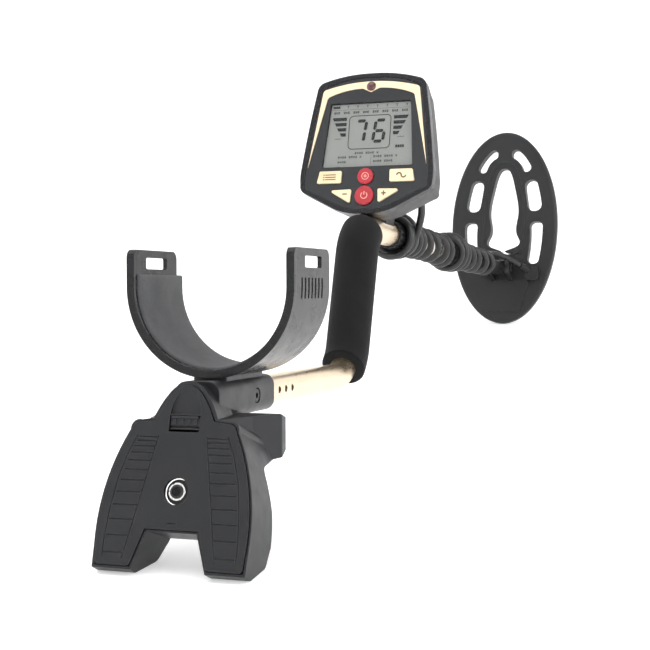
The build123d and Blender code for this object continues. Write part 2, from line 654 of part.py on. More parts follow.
def make_lower_rod():
    keep("lower_rod", ring(ROD, ROD_R, ROD_BORE_R, MIDDLE_LENGTH - ROD_BACK, ROD_REACH - 24))
    plug = disc(ROD, ROD_BORE_R - 0.02, ROD_REACH - 44, ROD_REACH - 24)
    plug += disc(ROD, ROD_R, ROD_REACH - 24, ROD_REACH - 9.5)
    lug = disc(PIVOT_AXIS, 9.5, -7, 7)
    lug += slab(ROD, Rectangle(14, 15), ROD_REACH - 16, ROD_REACH)
    tip = plug + lug
    tip -= disc(PIVOT_AXIS, 4.08, -12, 12)
    keep("rod_tip", tip)
    washers = []
    for side in (-1, 1):
        low, high = sorted((side * 7.05, side * 8.45))
        washers.append(ring(PIVOT_AXIS, 8.6, 4.3, low, high))
    keep("pivot_washers", *washers)


# ---- search coil

EAR_IN = 8.8
EAR_OUT = 14.6


def ellipse_outline(inset):
    return Ellipse(COIL_HALF_WIDTH - inset, COIL_HALF_LENGTH - inset)


def from_toe(distance):
    return COIL_HALF_LENGTH - distance


# Half of the central opening: distance from the middle line, distance from the toe, and the way outwards.
EGG = [
    (0, 49, 0, -1),
    (5.4, 51.0, 0.6, -0.8),
    (8.8, 56.3, 0.9, -0.43),
    (13.2, 71, 0.96, -0.28),
    (16.6, 86, 0.98, -0.19),
    (19.2, 112, 1, 0),
    (18.5, 139, 0.98, 0.17),
    (14.6, 154.5, 0.78, 0.62),
    (8, 161.4, 0.38, 0.93),
    (0, 163.4, 0, 1),
]


def egg_opening(grow=0.0):
    """The large central opening, narrow towards the toe and round towards the heel."""
    points = [(x + grow * out_x, from_toe(u + grow * out_u)) for x, u, out_x, out_u in EGG]
    curve = Spline(*points, tangents=[(1, 0), (-1, 0)])
    closing = Line(points[-1], points[0])
    return mirrored(make_face([curve, closing]))


def side_openings():
    """The three openings on the +X side between the outer and the inner ring."""
    inner_points = [(0, 33.5), (27.5, 74), (33.4, 112), (35.2, 143), (30, 180), (0, 190)]
    inner_curve = Spline(*[(x, from_toe(u)) for x, u in inner_points], tangents=[(1, 0), (-1, 0)])
    closing = Line((0, from_toe(190)), (0, from_toe(33.5)))
    inner = make_face([inner_curve, closing])
    band = ellipse_outline(RING_WIDTH) - mirrored(inner)
    zones = [
        [(9.2, 10), (60, 10), (60, 38), (9.2, 66)],
        [(15, 75.5), (60, 50), (60, 106.5), (15, 106.5)],
        [(15, 120.5), (60, 120.5), (60, 176), (15, 176)],
    ]
    openings = []
    for zone in zones:
        corners = [(x, from_toe(u)) for x, u in zone]
        cell = band & make_face(Polyline(*corners, close=True))
        cell = cell.faces().sort_by(SortBy.AREA)[-1]
        openings.append(soften(cell))
    return openings


def soften(cell):
    """Round an opening's corners as far as its sides allow."""
    for radius in (8.5, 7.5, 6.5, 5.5, 4.2):
        try:
            return fillet(cell.vertices(), radius)
        except ValueError:
            continue
    return cell


def coil_plan(inset=0.0):
    """The plate's plan view with every opening cut."""
    plan = ellipse_outline(inset) - egg_opening()
    for opening in side_openings():
        plan -= opening
        plan -= mirror(opening, Plane.YZ)
    return plan


def make_coil():
    seam = -COIL_THICK * 0.55
    plan = coil_plan()
    upper = slab(COIL, plan, seam, 0)
    lower = slab(COIL, plan, -COIL_THICK, seam - 0.02)
    upper = fillet(outer_edge(upper, 0), COIL_EDGE_R)
    lower = fillet(outer_edge(lower, -COIL_THICK), COIL_EDGE_R)
    outer_groove = ellipse_outline(6) - ellipse_outline(12.5)
    groove = slab(COIL, outer_groove, seam - 3.4, seam + 3.4)
    upper -= groove
    lower -= groove
    upper -= slab(COIL, receive_track(), seam - 1, seam + 3)
    ridge = slab(COIL, receive_ridge(), -0.2, 0.8)
    plateau_points = [(-36, -70), (36, -70), (24, -112), (-24, -112)]
    plateau_face = fillet(make_face(Polyline(*plateau_points, close=True)).vertices(), 4)
    plateau = slab(COIL, plateau_face, -0.2, 1.4)
    upper = upper + ridge + plateau + coil_ears()
    upper -= disc(PIVOT_AXIS, 4.1, -20, 20)
    keep("coil_shell", upper + gland_boss())
    keep("coil_cover", lower)
    keep("transmit_winding", slab(COIL, ellipse_outline(6.3) - ellipse_outline(12.2), seam - 3.2, seam + 3.2))
    winding = receive_track(0.25) & receive_track(0.1)
    keep("receive_winding", slab(COIL, winding, seam + 0.1, seam + 2.8) & groove_room(seam))
    bolt = disc(PIVOT_AXIS, 4.0, -EAR_OUT - 12, EAR_OUT + 0.1)
    bolt += disc(PIVOT_AXIS, 6.0, EAR_OUT + 0.1, EAR_OUT + 2.5)
    keep("pivot_bolt", bolt)
    knob = disc(PIVOT_AXIS, 11, -EAR_OUT - 11, -EAR_OUT - 0.3)
    for turn in range(6):
        scallop = Rot(Z=60 * turn) * Pos(13.2, 0, -EAR_OUT - 6) * Cylinder(4.2, 14)
        knob -= PIVOT_AXIS * scallop
    knob -= disc(PIVOT_AXIS, 4.06, -EAR_OUT - 12.5, -EAR_OUT)
    keep("pivot_knob", knob)


def outer_edge(solid, level):
    """The plate's outer rim edge at one height above the coil plane."""
    height = COIL.offset(level)
    rim = []
    for edge in solid.edges():
        centre = height.to_local_coords(edge.center())
        if abs(centre.Z) < 0.01 and edge.length > 500:
            rim.append(edge)
    return rim


def egg_ring(outward, wide):
    """A closed track round the central opening."""
    return egg_opening(outward + wide) - egg_opening(outward)


def receive_track(slack=0.0):
    return egg_ring(4.5 + slack, 6.0 - 2 * slack)


def groove_room(seam):
    """The room that the shell's inner groove leaves for the receive winding."""
    return slab(COIL, receive_track(), seam, seam + 3)


def receive_ridge():
    return egg_ring(6.5, 3.0)


def coil_ears():
    """Two lugs that hold the pivot bolt."""
    profile = Polyline((-17, -1), (17, -1), (9, PIVOT_BEHIND_PLATE), (-9, PIVOT_BEHIND_PLATE), close=True)
    side_plane = Plane(
        origin=COIL.from_local_coords((0, -PIVOT_BELOW_CENTRE, 0)),
        x_dir=COIL.y_dir,
        z_dir=(1, 0, 0),
    )
    face = make_face(profile) + Pos(0, PIVOT_BEHIND_PLATE) * Circle(9.2)
    ears = None
    for side in (-1, 1):
        low, high = sorted((side * EAR_IN, side * EAR_OUT))
        ear = slab(side_plane, face, low, high)
        ears = ear if ears is None else ears + ear
    return ears


GLAND = (40.0, -63.0)


def gland_boss():
    boss = slab(COIL, Pos(*GLAND) * RectangleRounded(17, 17, 4), -0.5, 9.5)
    hole = gland_plane()
    return boss - disc(hole, CABLE_R + 1.5, -1, 20)


def gland_plane():
    """Mouth of the cable gland: it faces up and inwards, towards the rod."""
    mouth = COIL.from_local_coords((GLAND[0] - 4, GLAND[1] + 4, 5.0))
    way = COIL.from_local_coords((-0.588, 0.384, 0.712)) - COIL.from_local_coords((0, 0, 0))
    return Plane(origin=mouth, z_dir=way)


def make_relief():
    hole = gland_plane()
    relief = loft([hole.offset(-1) * Circle(CABLE_R + 1.45), hole.offset(16) * Circle(CABLE_R + 0.6)])
    relief -= disc(hole, CABLE_R, -2, 17)
    keep("strain_relief", relief)


# ---- coil cable

WRAP_START = 1.0            # places along the rod, from the S-tube's end
STRAP_START = 398.0
STRAP_LENGTH = 16.0
TAIL_SEAT = ROD_R + CABLE_R + 0.25      # cable centre to rod axis under the strap


def cord_solid(points):
    """A plain tube along straight runs joined by arcs as large as the runs allow."""
    vectors = [Vector(*point) for point in points]
    radii = []
    for before, here, after in zip(vectors, vectors[1:], vectors[2:]):
        turn = (here - before).get_angle(after - here)
        shorter = min((here - before).length, (after - here).length)
        radii.append(0.45 * shorter / tan(radians(turn) / 2))
    print("cord radii", [round(radius, 1) for radius in radii])
    path = FilletPolyline(*vectors, radius=radii)
    section = Plane(origin=path @ 0, z_dir=path % 0) * Circle(CABLE_R)
    solid = sweep(section, path=path)
    print("cord volume", round(solid.volume), "section times length", round(3.14159 * CABLE_R**2 * path.length))
    return solid


def rod_turns(inner, low, high):
    """The outer shape of the cable's turns round the rod."""
    return ring(ROD, inner + 0.2 + 2 * CABLE_R, inner + 0.2, low, high)


def make_cable():
    upper = rod_turns(COLLAR_R, WRAP_START, COLLAR_LENGTH)
    lower_collar_start = MIDDLE_LENGTH - 12.0
    lower_collar_end = lower_collar_start + COLLAR_LENGTH
    keep("cable_turns_upper", upper)
    keep("cable_turns_middle", rod_turns(MIDDLE_R, COLLAR_LENGTH + 0.3, lower_collar_start - 0.3))
    keep("cable_turns_collar", rod_turns(COLLAR_R, lower_collar_start, lower_collar_end))
    keep("cable_turns_lower", rod_turns(ROD_R, lower_collar_end + 0.3, STRAP_START - 0.5))
    plug_end = SCREEN.from_local_coords((*CONNECTOR, -SCREEN_DEPTH - 22))
    ahead = SCREEN.from_local_coords((*CONNECTOR, -SCREEN_DEPTH - 38))
    lead = cord_solid([tuple(plug_end), tuple(ahead), (28.5, 433, 153), (24.5, 441, 140), (18.5, 445, 127)])
    lead -= disc(ROD, COLLAR_R + 0.2 + 2 * CABLE_R, -40, COLLAR_LENGTH + 20)
    keep("cable_lead", lead)
    strap_end = STRAP_START + STRAP_LENGTH + 0.5
    tail_start = ROD.from_local_coords((0, -TAIL_SEAT, STRAP_START - 0.5))
    seat = ROD.from_local_coords((0, -TAIL_SEAT, strap_end))
    relief_end = gland_plane().from_local_coords((0, 0, 17.05))
    way = [(1.2, 858, 121.2), (6.5, 877.5, 120), (16, 896.3, 115.3)]
    keep("cable_tail", cord_solid([tuple(tail_start), tuple(seat), *way, tuple(relief_end)]))
    band = disc(ROD, ROD_R + 1.4, STRAP_START, STRAP_START + STRAP_LENGTH)
    band += disc(ROD, CABLE_R + 1.6, STRAP_START, STRAP_START + STRAP_LENGTH, y=-TAIL_SEAT)
    band -= disc(ROD, ROD_R + 0.02, STRAP_START - 1, strap_end)
    band -= disc(ROD, CABLE_R + 0.35, STRAP_START - 1, strap_end, y=-TAIL_SEAT)
    keep("cable_strap", band)


make_s_tube()
make_grip()
make_housing()
make_door()
make_latch()
make_jack()
make_batteries()
make_socket_screw()
make_cup()
make_display()
make_bracket()
make_connector()
make_middle_tube()
collar("upper_collar", -12.0, TUBE_R, MIDDLE_R, "upper_bush")
collar("lower_collar", MIDDLE_LENGTH - 12.0, MIDDLE_R, ROD_R, "lower_bush")
make_lower_rod()
make_coil()
make_relief()
make_cable()

os.makedirs("parts", exist_ok=True)
stand = Rot(X=-TIP_FORWARD)
whole = Compound(children=[Compound(solids) for solids in parts.values()]).moved(stand)
box = whole.bounding_box()
stand = Pos(0, -(box.min.Y + box.max.Y) / 2, -box.min.Z) * stand
for name, solids in parts.items():
    moved = [stand * solid for solid in solids]
    shape = moved[0] if len(moved) == 1 else Compound(moved)
    export_step(shape, f"parts/{name}.step")
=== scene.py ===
"""Looks of the metal detector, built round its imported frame.

Sizes are given in the tube frame, in millimetres: X to the user's right, Y forward along the rear tube and
Z up from it. A Stand places that frame in the row frame, which is in metres.
"""

from __future__ import annotations

import json
import logging
from dataclasses import dataclass, field
from enum import Enum
from math import atan2, cos, pi, radians, sin, tau
from typing import Iterable, Sequence

import bmesh
import bpy
from mathutils import Matrix, Vector

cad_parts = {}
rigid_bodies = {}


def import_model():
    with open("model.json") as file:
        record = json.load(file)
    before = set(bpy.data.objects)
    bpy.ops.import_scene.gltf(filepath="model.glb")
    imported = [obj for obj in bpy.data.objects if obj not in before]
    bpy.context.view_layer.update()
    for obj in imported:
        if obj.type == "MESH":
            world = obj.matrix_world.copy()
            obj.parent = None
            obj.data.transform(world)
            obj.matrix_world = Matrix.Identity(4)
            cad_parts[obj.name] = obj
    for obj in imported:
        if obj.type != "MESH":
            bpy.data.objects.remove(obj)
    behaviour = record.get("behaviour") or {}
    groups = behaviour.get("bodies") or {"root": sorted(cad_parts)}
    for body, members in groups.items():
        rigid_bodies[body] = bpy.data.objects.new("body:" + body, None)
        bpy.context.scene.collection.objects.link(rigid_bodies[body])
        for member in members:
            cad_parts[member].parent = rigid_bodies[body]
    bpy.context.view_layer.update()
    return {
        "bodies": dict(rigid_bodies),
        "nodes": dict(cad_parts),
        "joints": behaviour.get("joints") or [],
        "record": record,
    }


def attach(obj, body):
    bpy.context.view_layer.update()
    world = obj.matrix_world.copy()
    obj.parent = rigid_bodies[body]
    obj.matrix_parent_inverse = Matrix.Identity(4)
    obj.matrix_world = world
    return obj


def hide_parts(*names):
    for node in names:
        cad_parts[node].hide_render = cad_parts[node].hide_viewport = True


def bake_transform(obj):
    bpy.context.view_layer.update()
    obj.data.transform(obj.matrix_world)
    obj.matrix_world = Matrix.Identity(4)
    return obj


LOG = logging.getLogger("metal_detector")
MM = 0.001
SMOOTH_ANGLE = radians(38)

Point = tuple[float, float, float]
Flat = tuple[float, float]
Colour = tuple[float, float, float]
Socket = bpy.types.NodeSocket
Form = bmesh.types.BMesh
Vert = bmesh.types.BMVert


# ---------------------------------------------------------------------------------------------- places


def leaning_plane(foot_y: float, foot_z: float, lean: float) -> Matrix:
    """A plane that faces the user, its local Y running up the face.

    Args:
        foot_y: Y of the plane's origin.
        foot_z: Z of the plane's origin.
        lean: degrees that the face leans back from upright.

    Returns:
        The matrix from the plane's own coordinates to the tube frame.
    """
    normal = Vector((0, -cos(radians(lean)), sin(radians(lean))))
    across = Vector((1, 0, 0))
    up = normal.cross(across)
    return axes_matrix(across, up, normal, Vector((0, foot_y, foot_z)))


def axes_matrix(x_axis: Vector, y_axis: Vector, z_axis: Vector, origin: Vector) -> Matrix:
    """A matrix whose columns are three axes and an origin."""
    turned = Matrix((x_axis, y_axis, z_axis)).transposed().to_4x4()
    return Matrix.Translation(origin) @ turned


class Face(Enum):
    """The flat faces that pieces are placed on, as foot Y, foot Z and lean."""

    DOOR = (-58.6, -100.8, 17.1)
    SCREEN = (347.4, 186.4, 12.5)
    COIL = (930.4, 157.8, 6.3)

    def matrix(self) -> Matrix:
        """The face's matrix in the tube frame."""
        return leaning_plane(*self.value)


@dataclass(frozen=True)
class RodLine:
    """The telescopic rod's axis, from the S-tube's front end forwards."""

    start: Point = (0.0, 425.3, 126.5)
    slope: float = 2.648

    def matrix(self) -> Matrix:
        """Local X to the right, local Y down and local Z forward along the rod."""
        forward = Vector((0, cos(radians(self.slope)), -sin(radians(self.slope))))
        across = Vector((1, 0, 0))
        return axes_matrix(across, forward.cross(across), forward, Vector(self.start))

    def at(self, along: float, angle: float, radius: float) -> Vector:
        """A point round the rod, in the tube frame.

        Args:
            along: millimetres forward from the S-tube's end.
            angle: radians from the right-hand side, going down first.
            radius: millimetres from the rod's axis.
        """
        return self.matrix() @ Vector((radius * cos(angle), radius * sin(angle), along))


@dataclass(frozen=True)
class Stand:
    """Where the tube frame stands in the row frame."""

    to_row: Matrix
    pivot: Point = (0.0, 904.376, 104.333)

    @classmethod
    def read(cls, frame: dict) -> "Stand":
        """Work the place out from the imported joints.


        Returns:
            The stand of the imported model.
        """
        joints = {joint["name"]: joint for joint in frame["joints"]}
        forward = Vector(joints["armrest_slide"]["axis"])
        turn = Matrix.Rotation(atan2(forward.z, forward.y), 4, "X") @ Matrix.Scale(MM, 4)
        origin = Vector(joints["coil_tilt"]["pos_m"]) - turn @ Vector(cls.pivot)
        return cls(to_row=Matrix.Translation(origin) @ turn)

    def row(self, point: Sequence[float]) -> Vector:
        """A tube frame point in the row frame."""
        return self.to_row @ Vector(point)

    def way(self, direction: Sequence[float]) -> Vector:
        """A tube frame direction in the row frame."""
        return (self.to_row.to_3x3() @ Vector(direction)).normalized()


# -------------------------------------------------------------------------------------------- finishes


def finish_label(name: str) -> str:
    """A material name that no packed material has."""
    return name + "_finish"


class Graph:
    """A material's node tree, with short calls for the nodes that the finishes share."""

    def __init__(self, name: str) -> None:
        """Start an empty material with a Principled shader."""
        self.material = bpy.data.materials.new(finish_label(name))
        self.material.use_nodes = True
        self.nodes = self.material.node_tree.nodes
        self.links = self.material.node_tree.links
        self.shader = self.nodes["Principled BSDF"]
        self.spot = self.add("ShaderNodeTexCoord").outputs["Object"]

    def add(self, kind: str, **settings: object) -> bpy.types.Node:
        """Add a node and give it settings by attribute name."""
        node = self.nodes.new(kind)
        for key, value in settings.items():
            setattr(node, key, value)
        return node

    def link(self, source: Socket, target: Socket) -> None:
        """Join two sockets."""
        self.links.new(source, target)

    def drive(self, name: str, source: Socket) -> None:
        """Join a socket to one of the shader's own."""
        self.link(source, self.shader.inputs[name])

    def constants(self, **values: object) -> None:
        """Set the shader's own sockets; an underscore in a name stands for a space."""
        for key, value in values.items():
            self.shader.inputs[key.replace("_", " ")].default_value = value

    def stretched(self, scale: Point, turn: Point = (0, 0, 0)) -> Socket:
        """Object coordinates turned and then stretched."""
        mapping = self.add("ShaderNodeMapping")
        mapping.inputs["Scale"].default_value = scale
        mapping.inputs["Rotation"].default_value = turn
        self.link(self.spot, mapping.inputs["Vector"])
        return mapping.outputs["Vector"]

    def noise(self, scale: float, detail: float = 3, at: Socket | None = None) -> Socket:
        """A noise value from 0 to 1."""
        node = self.add("ShaderNodeTexNoise")
        node.inputs["Scale"].default_value = scale
        node.inputs["Detail"].default_value = detail
        self.link(at or self.spot, node.inputs["Vector"])
        return node.outputs["Fac"]

    def cells(self, scale: float, at: Socket | None = None) -> Socket:
        """The distance to the nearest of many scattered points."""
        node = self.add("ShaderNodeTexVoronoi")
        node.inputs["Scale"].default_value = scale
        self.link(at or self.spot, node.inputs["Vector"])
        return node.outputs["Distance"]

    def spread(
        self, value: Socket, low: float, high: float, start: float = 0.3, end: float = 0.7,
    ) -> Socket:
        """Map a value from start..end to low..high."""
        node = self.add("ShaderNodeMapRange")
        node.inputs["From Min"].default_value = start
        node.inputs["From Max"].default_value = end
        node.inputs["To Min"].default_value = low
        node.inputs["To Max"].default_value = high
        self.link(value, node.inputs["Value"])
        return node.outputs["Result"]

    def blend(self, share: Socket, first: object, second: object) -> Socket:
        """Mix two colours, each a colour or a socket."""
        node = self.add("ShaderNodeMix", data_type="RGBA")
        self.link(share, node.inputs["Factor"])
        for socket, value in ((node.inputs[6], first), (node.inputs[7], second)):
            if isinstance(value, Socket):
                self.link(value, socket)
            else:
                socket.default_value = (*value, 1)
        return node.outputs[2]

    def edges(self, radius: float) -> tuple[Socket, Socket]:
        """A softened normal, and how far it stands from the true one.

        Args:
            radius: millimetres over which an edge is softened.

        Returns:
            The softened normal, and a mask that is 1 on the edges.
        """
        soft = self.add("ShaderNodeBevel", samples=4)
        soft.inputs["Radius"].default_value = radius * MM
        true_normal = self.add("ShaderNodeNewGeometry").outputs["Normal"]
        dot = self.add("ShaderNodeVectorMath", operation="DOT_PRODUCT")
        self.link(soft.outputs["Normal"], dot.inputs[0])
        self.link(true_normal, dot.inputs[1])
        mask = self.spread(dot.outputs["Value"], 1, 0, 0.80, 0.995)
        return soft.outputs["Normal"], mask

    def relief(self, height: Socket, depth: float, normal: Socket | None = None) -> Socket:
        """A bump of a real depth.

        Args:
            height: the pattern, 0 to 1.
            depth: millimetres between 0 and 1.
            normal: the normal that the bump is laid on.

        Returns:
            The bumped normal, which is also joined to the shader.
        """
        bump = self.add("ShaderNodeBump")
        bump.inputs["Strength"].default_value = 1.0
        bump.inputs["Distance"].default_value = depth * MM
        self.link(height, bump.inputs["Height"])
        if normal is not None:
            self.link(normal, bump.inputs["Normal"])
        self.drive("Normal", bump.outputs["Normal"])
        return bump.outputs["Normal"]


def shade(colour: Colour, factor: float) -> Colour:
    """A colour made lighter or darker, kept under 1."""
    return tuple(min(1.0, channel * factor) for channel in colour)


@dataclass(frozen=True)
class Finish:
    """A surface finish. Its material is made once, when it is first needed."""

    name: str
    colour: Colour

    def material(self) -> bpy.types.Material:
        """The finish's material."""
        return bpy.data.materials.get(finish_label(self.name)) or self.make()

    def make(self) -> bpy.types.Material:
        """Build the material; each kind of finish has its own."""
        raise NotImplementedError


@dataclass(frozen=True)
class Moulded(Finish):
    """Injection moulded plastic with a fine grain, small flow marks and edges painted lighter, as wear and as
    painted highlight.
    """

    roughness: float = 0.5
    grain: float = 0.03
    grain_scale: float = 1600
    edge: float = 0.5
    edge_wear_and_highlight: float = 1.6
    specular: float = 0.5

    def make(self) -> bpy.types.Material:
        """Grain, flow marks, dust in patches, and edges painted lighter as wear and painted highlight."""
        graph = Graph(self.name)
        graph.constants(Specular_IOR_Level=self.specular)
        normal, mask = graph.edges(self.edge)
        patches = graph.spread(graph.noise(28, 4), 0, 1, 0.35, 0.7)
        base = graph.blend(patches, shade(self.colour, 0.88), shade(self.colour, 1.14))
        # Painted highlight: the edge mask lightens the colour, partly as wear and partly as light caught on
        # rounded edges.
        edge_wear_and_highlight_tone = graph.blend(mask, base, shade(self.colour, self.edge_wear_and_highlight))
        graph.drive("Base Color", edge_wear_and_highlight_tone)
        rough = graph.spread(graph.noise(90, 3), self.roughness - 0.05, self.roughness + 0.06)
        graph.drive("Roughness", rough)
        graph.relief(graph.noise(self.grain_scale, 2), self.grain, normal)
        return graph.material


@dataclass(frozen=True)
class Metal(Finish):
    """Anodised or plated metal, drawn or turned, with fine lines along it."""

    roughness: float = 0.3
    lines: Point = (900, 30, 900)
    line_depth: float = 0.006
    edge: float = 0.25

    def make(self) -> bpy.types.Material:
        """Fine lines in gloss and relief, a slight change of colour along the metal, and edges painted
        lighter as wear and painted highlight.
        """
        graph = Graph(self.name)
        graph.constants(Metallic=1.0)
        normal, mask = graph.edges(self.edge)
        drawn = graph.noise(1.0, 3, graph.stretched(self.lines))
        patches = graph.spread(graph.noise(14, 2), 0, 1)
        tone = graph.blend(patches, shade(self.colour, 0.95), shade(self.colour, 1.04))
        # Painted highlight: edges lightened in the colour, partly as wear and partly as light caught on the
        # edge.
        edge_wear_and_highlight_tone = graph.blend(mask, tone, shade(self.colour, 1.2))
        graph.drive("Base Color", edge_wear_and_highlight_tone)
        graph.drive("Roughness", graph.spread(drawn, self.roughness - 0.04, self.roughness + 0.06))
        graph.relief(drawn, self.line_depth, normal)
        return graph.material


@dataclass(frozen=True)
class Foam(Finish):
    """Closed-cell foam: matt, with small open cells at its skin."""

    cell_scale: float = 900
    depth: float = 0.16
    sheen: float = 0.25

    def make(self) -> bpy.types.Material:
        """Cells in relief, with painted shade in their hollows, over a soft mottle."""
        graph = Graph(self.name)
        graph.constants(Roughness=0.92, Sheen_Weight=self.sheen, Sheen_Roughness=0.5, Specular_IOR_Level=0.25)
        cells = graph.cells(self.cell_scale)
        pores = graph.spread(cells, 0, 1, 0.1, 0.75)
        mottle = graph.spread(graph.noise(55, 4), 0, 1, 0.35, 0.68)
        base = graph.blend(mottle, shade(self.colour, 0.82), shade(self.colour, 1.2))
        # Painted shade: the cells' hollows are darkened in the colour.
        graph.drive("Base Color", graph.blend(pores, shade(self.colour, 0.6), base))
        graph.relief(pores, self.depth)
        return graph.material


@dataclass(frozen=True)
class Gloss(Finish):
    """A glossy moulding or printed film with a clear skin."""

    roughness: float = 0.16
    coat: float = 0.6
    ripple: float = 0.01
    edge: float = 0.35

    def make(self) -> bpy.types.Material:
        """A faint ripple under the clear skin, finger smears in its gloss, and edges painted lighter as wear
        and painted highlight.
        """
        graph = Graph(self.name)
        graph.constants(Coat_Weight=self.coat, Coat_Roughness=0.06)
        normal, mask = graph.edges(self.edge)
        patches = graph.spread(graph.noise(20, 3), 0, 1)
        tone = graph.blend(patches, shade(self.colour, 0.85), shade(self.colour, 1.18))
        # Painted highlight: the edge mask lightens the colour, partly as wear and partly as light caught on
        # the edges.
        graph.drive("Base Color", graph.blend(mask, tone, shade(self.colour, 1.35)))
        smears = graph.noise(34, 5, graph.stretched((1, 1, 2.4), (0.3, 0.1, 0.5)))
        graph.drive("Roughness", graph.spread(smears, self.roughness - 0.05, self.roughness + 0.12))
        graph.relief(graph.noise(220, 2), self.ripple, normal)
        return graph.material


@dataclass(frozen=True)
class Clear(Finish):
    """A thin clear window."""

    alpha: float = 0.06

    def make(self) -> bpy.types.Material:
        """Mostly see-through, with the gloss of polished acrylic."""
        graph = Graph(self.name)
        graph.constants(Alpha=self.alpha, Base_Color=(*self.colour, 1), Specular_IOR_Level=0.5)
        graph.drive("Roughness", graph.spread(graph.noise(40, 3), 0.05, 0.16))
        graph.relief(graph.noise(120, 1), 0.004)
        return graph.material


@dataclass(frozen=True)
class Crystal(Finish):
    """The liquid crystal panel: a grey film over a fine grid of cells."""

    grid: float = 2200

    def make(self) -> bpy.types.Material:
        """A soft mottle and a fine row pattern."""
        graph = Graph(self.name)
        graph.constants(Specular_IOR_Level=0.3)
        wave = graph.add("ShaderNodeTexWave", bands_direction="Z")
        wave.inputs["Scale"].default_value = self.grid
        graph.link(graph.spot, wave.inputs["Vector"])
        rows = graph.spread(wave.outputs["Fac"], 0, 0.35, 0, 1)
        mottle = graph.spread(graph.noise(36, 4), 0, 1)
        base = graph.blend(mottle, shade(self.colour, 0.96), shade(self.colour, 1.05))
        graph.drive("Base Color", graph.blend(rows, base, shade(self.colour, 0.93)))
        graph.drive("Roughness", graph.spread(graph.noise(300, 2), 0.42, 0.5))
        return graph.material


@dataclass(frozen=True)
class Ink(Finish):
    """Printed or switched-on marks."""

    roughness: float = 0.45

    def make(self) -> bpy.types.Material:
        """A slightly uneven print."""
        graph = Graph(self.name)
        uneven = graph.spread(graph.noise(700, 3), 0, 1)
        graph.drive("Base Color", graph.blend(uneven, shade(self.colour, 0.8), shade(self.colour, 1.25)))
        print_grain = graph.noise(400, 2)
        graph.drive("Roughness", graph.spread(print_grain, self.roughness - 0.06, self.roughness + 0.08))
        return graph.material


@dataclass(frozen=True)
class Woven(Finish):
    """Hook-and-loop webbing: ribs across a woven ground with a fuzz of loops."""

    rib_scale: float = 420
    loop_scale: float = 1900

    def make(self) -> bpy.types.Material:
        """Ribs and loops in relief, painted darker in their low parts as shade and lighter on their tops as
        highlight, with a sheen.
        """
        graph = Graph(self.name)
        graph.constants(Roughness=0.88, Sheen_Weight=0.5, Sheen_Roughness=0.35)
        wave = graph.add("ShaderNodeTexWave", bands_direction="Y")
        wave.inputs["Scale"].default_value = self.rib_scale
        wave.inputs["Distortion"].default_value = 1.4
        graph.link(graph.spot, wave.inputs["Vector"])
        loops = graph.noise(self.loop_scale, 4)
        both = graph.add("ShaderNodeMath", operation="ADD")
        graph.link(graph.spread(wave.outputs["Fac"], 0, 0.6, 0, 1), both.inputs[0])
        graph.link(graph.spread(loops, 0, 0.6), both.inputs[1])
        weave = both.outputs[0]
        # Painted shade and highlight: colour follows the weave's height, dark in the hollows and light on the
        # ribs and loops.
        graph.drive("Base Color", graph.blend(weave, shade(self.colour, 0.6), shade(self.colour, 1.7)))
        graph.relief(weave, 0.18)
        return graph.material


@dataclass(frozen=True)
class Jacket(Finish):
    """A cable's rubber jacket, drawn smooth with a faint drag of its die."""

    roughness: float = 0.42

    def make(self) -> bpy.types.Material:
        """Semi-gloss with a fine orange peel and dull rubbed patches."""
        graph = Graph(self.name)
        graph.constants(Specular_IOR_Level=0.55)
        patches = graph.spread(graph.noise(60, 4), 0, 1)
        graph.drive("Base Color", graph.blend(patches, shade(self.colour, 0.8), shade(self.colour, 1.3)))
        rubbed = graph.noise(130, 3)
        graph.drive("Roughness", graph.spread(rubbed, self.roughness - 0.08, self.roughness + 0.14))
        graph.relief(graph.noise(1100, 2), 0.025)
        return graph.material


@dataclass(frozen=True)
class Circuit(Finish):
    """Solder mask with tracks showing through."""

    def make(self) -> bpy.types.Material:
        """Tracks as raised bands under a green skin."""
        graph = Graph(self.name)
        graph.constants(Coat_Weight=0.3, Coat_Roughness=0.15)
        brick = graph.add("ShaderNodeTexBrick")
        brick.inputs["Scale"].default_value = 90
        brick.inputs["Mortar Size"].default_value = 0.03
        graph.link(graph.stretched((1, 1, 1), (pi / 2, 0, 0)), brick.inputs["Vector"])
        tracks = brick.outputs["Fac"]
        graph.drive("Base Color", graph.blend(tracks, self.colour, shade(self.colour, 1.9)))
        graph.drive("Roughness", graph.spread(graph.noise(60, 2), 0.3, 0.42))
        graph.relief(tracks, 0.03)
        return graph.material


@dataclass(frozen=True)
class Winding(Finish):
    """A bundle of enamelled wire."""

    def make(self) -> bpy.types.Material:
        """Wire after wire as fine ridges, with painted shade in the grooves between the wires."""
        graph = Graph(self.name)
        graph.constants(Metallic=1.0, Coat_Weight=0.5)
        wave = graph.add("ShaderNodeTexWave", bands_direction="Y")
        wave.inputs["Scale"].default_value = 600
        graph.link(graph.spot, wave.inputs["Vector"])
        wires = wave.outputs["Fac"]
        # Painted shade: the colour darkens in the grooves between the wires.
        graph.drive("Base Color", graph.blend(wires, shade(self.colour, 0.7), shade(self.colour, 1.15)))
        graph.drive("Roughness", graph.spread(wires, 0.38, 0.26, 0, 1))
        graph.relief(wires, 0.12)
        return graph.material


@dataclass(frozen=True)
class Studio(Finish):
    """The pale paper sweep that the object stands on, lit from behind as a light table is."""

    glow: float = 0.36

    def make(self) -> bpy.types.Material:
        """Matt paper with a barely visible tooth."""
        graph = Graph(self.name)
        graph.constants(Roughness=0.95, Specular_IOR_Level=0.1, Emission_Strength=self.glow)
        graph.constants(Emission_Color=(1, 1, 1, 1))
        tone = graph.spread(graph.noise(6, 2), 0, 1)
        graph.drive("Base Color", graph.blend(tone, shade(self.colour, 0.99), shade(self.colour, 1.01)))
        return graph.material


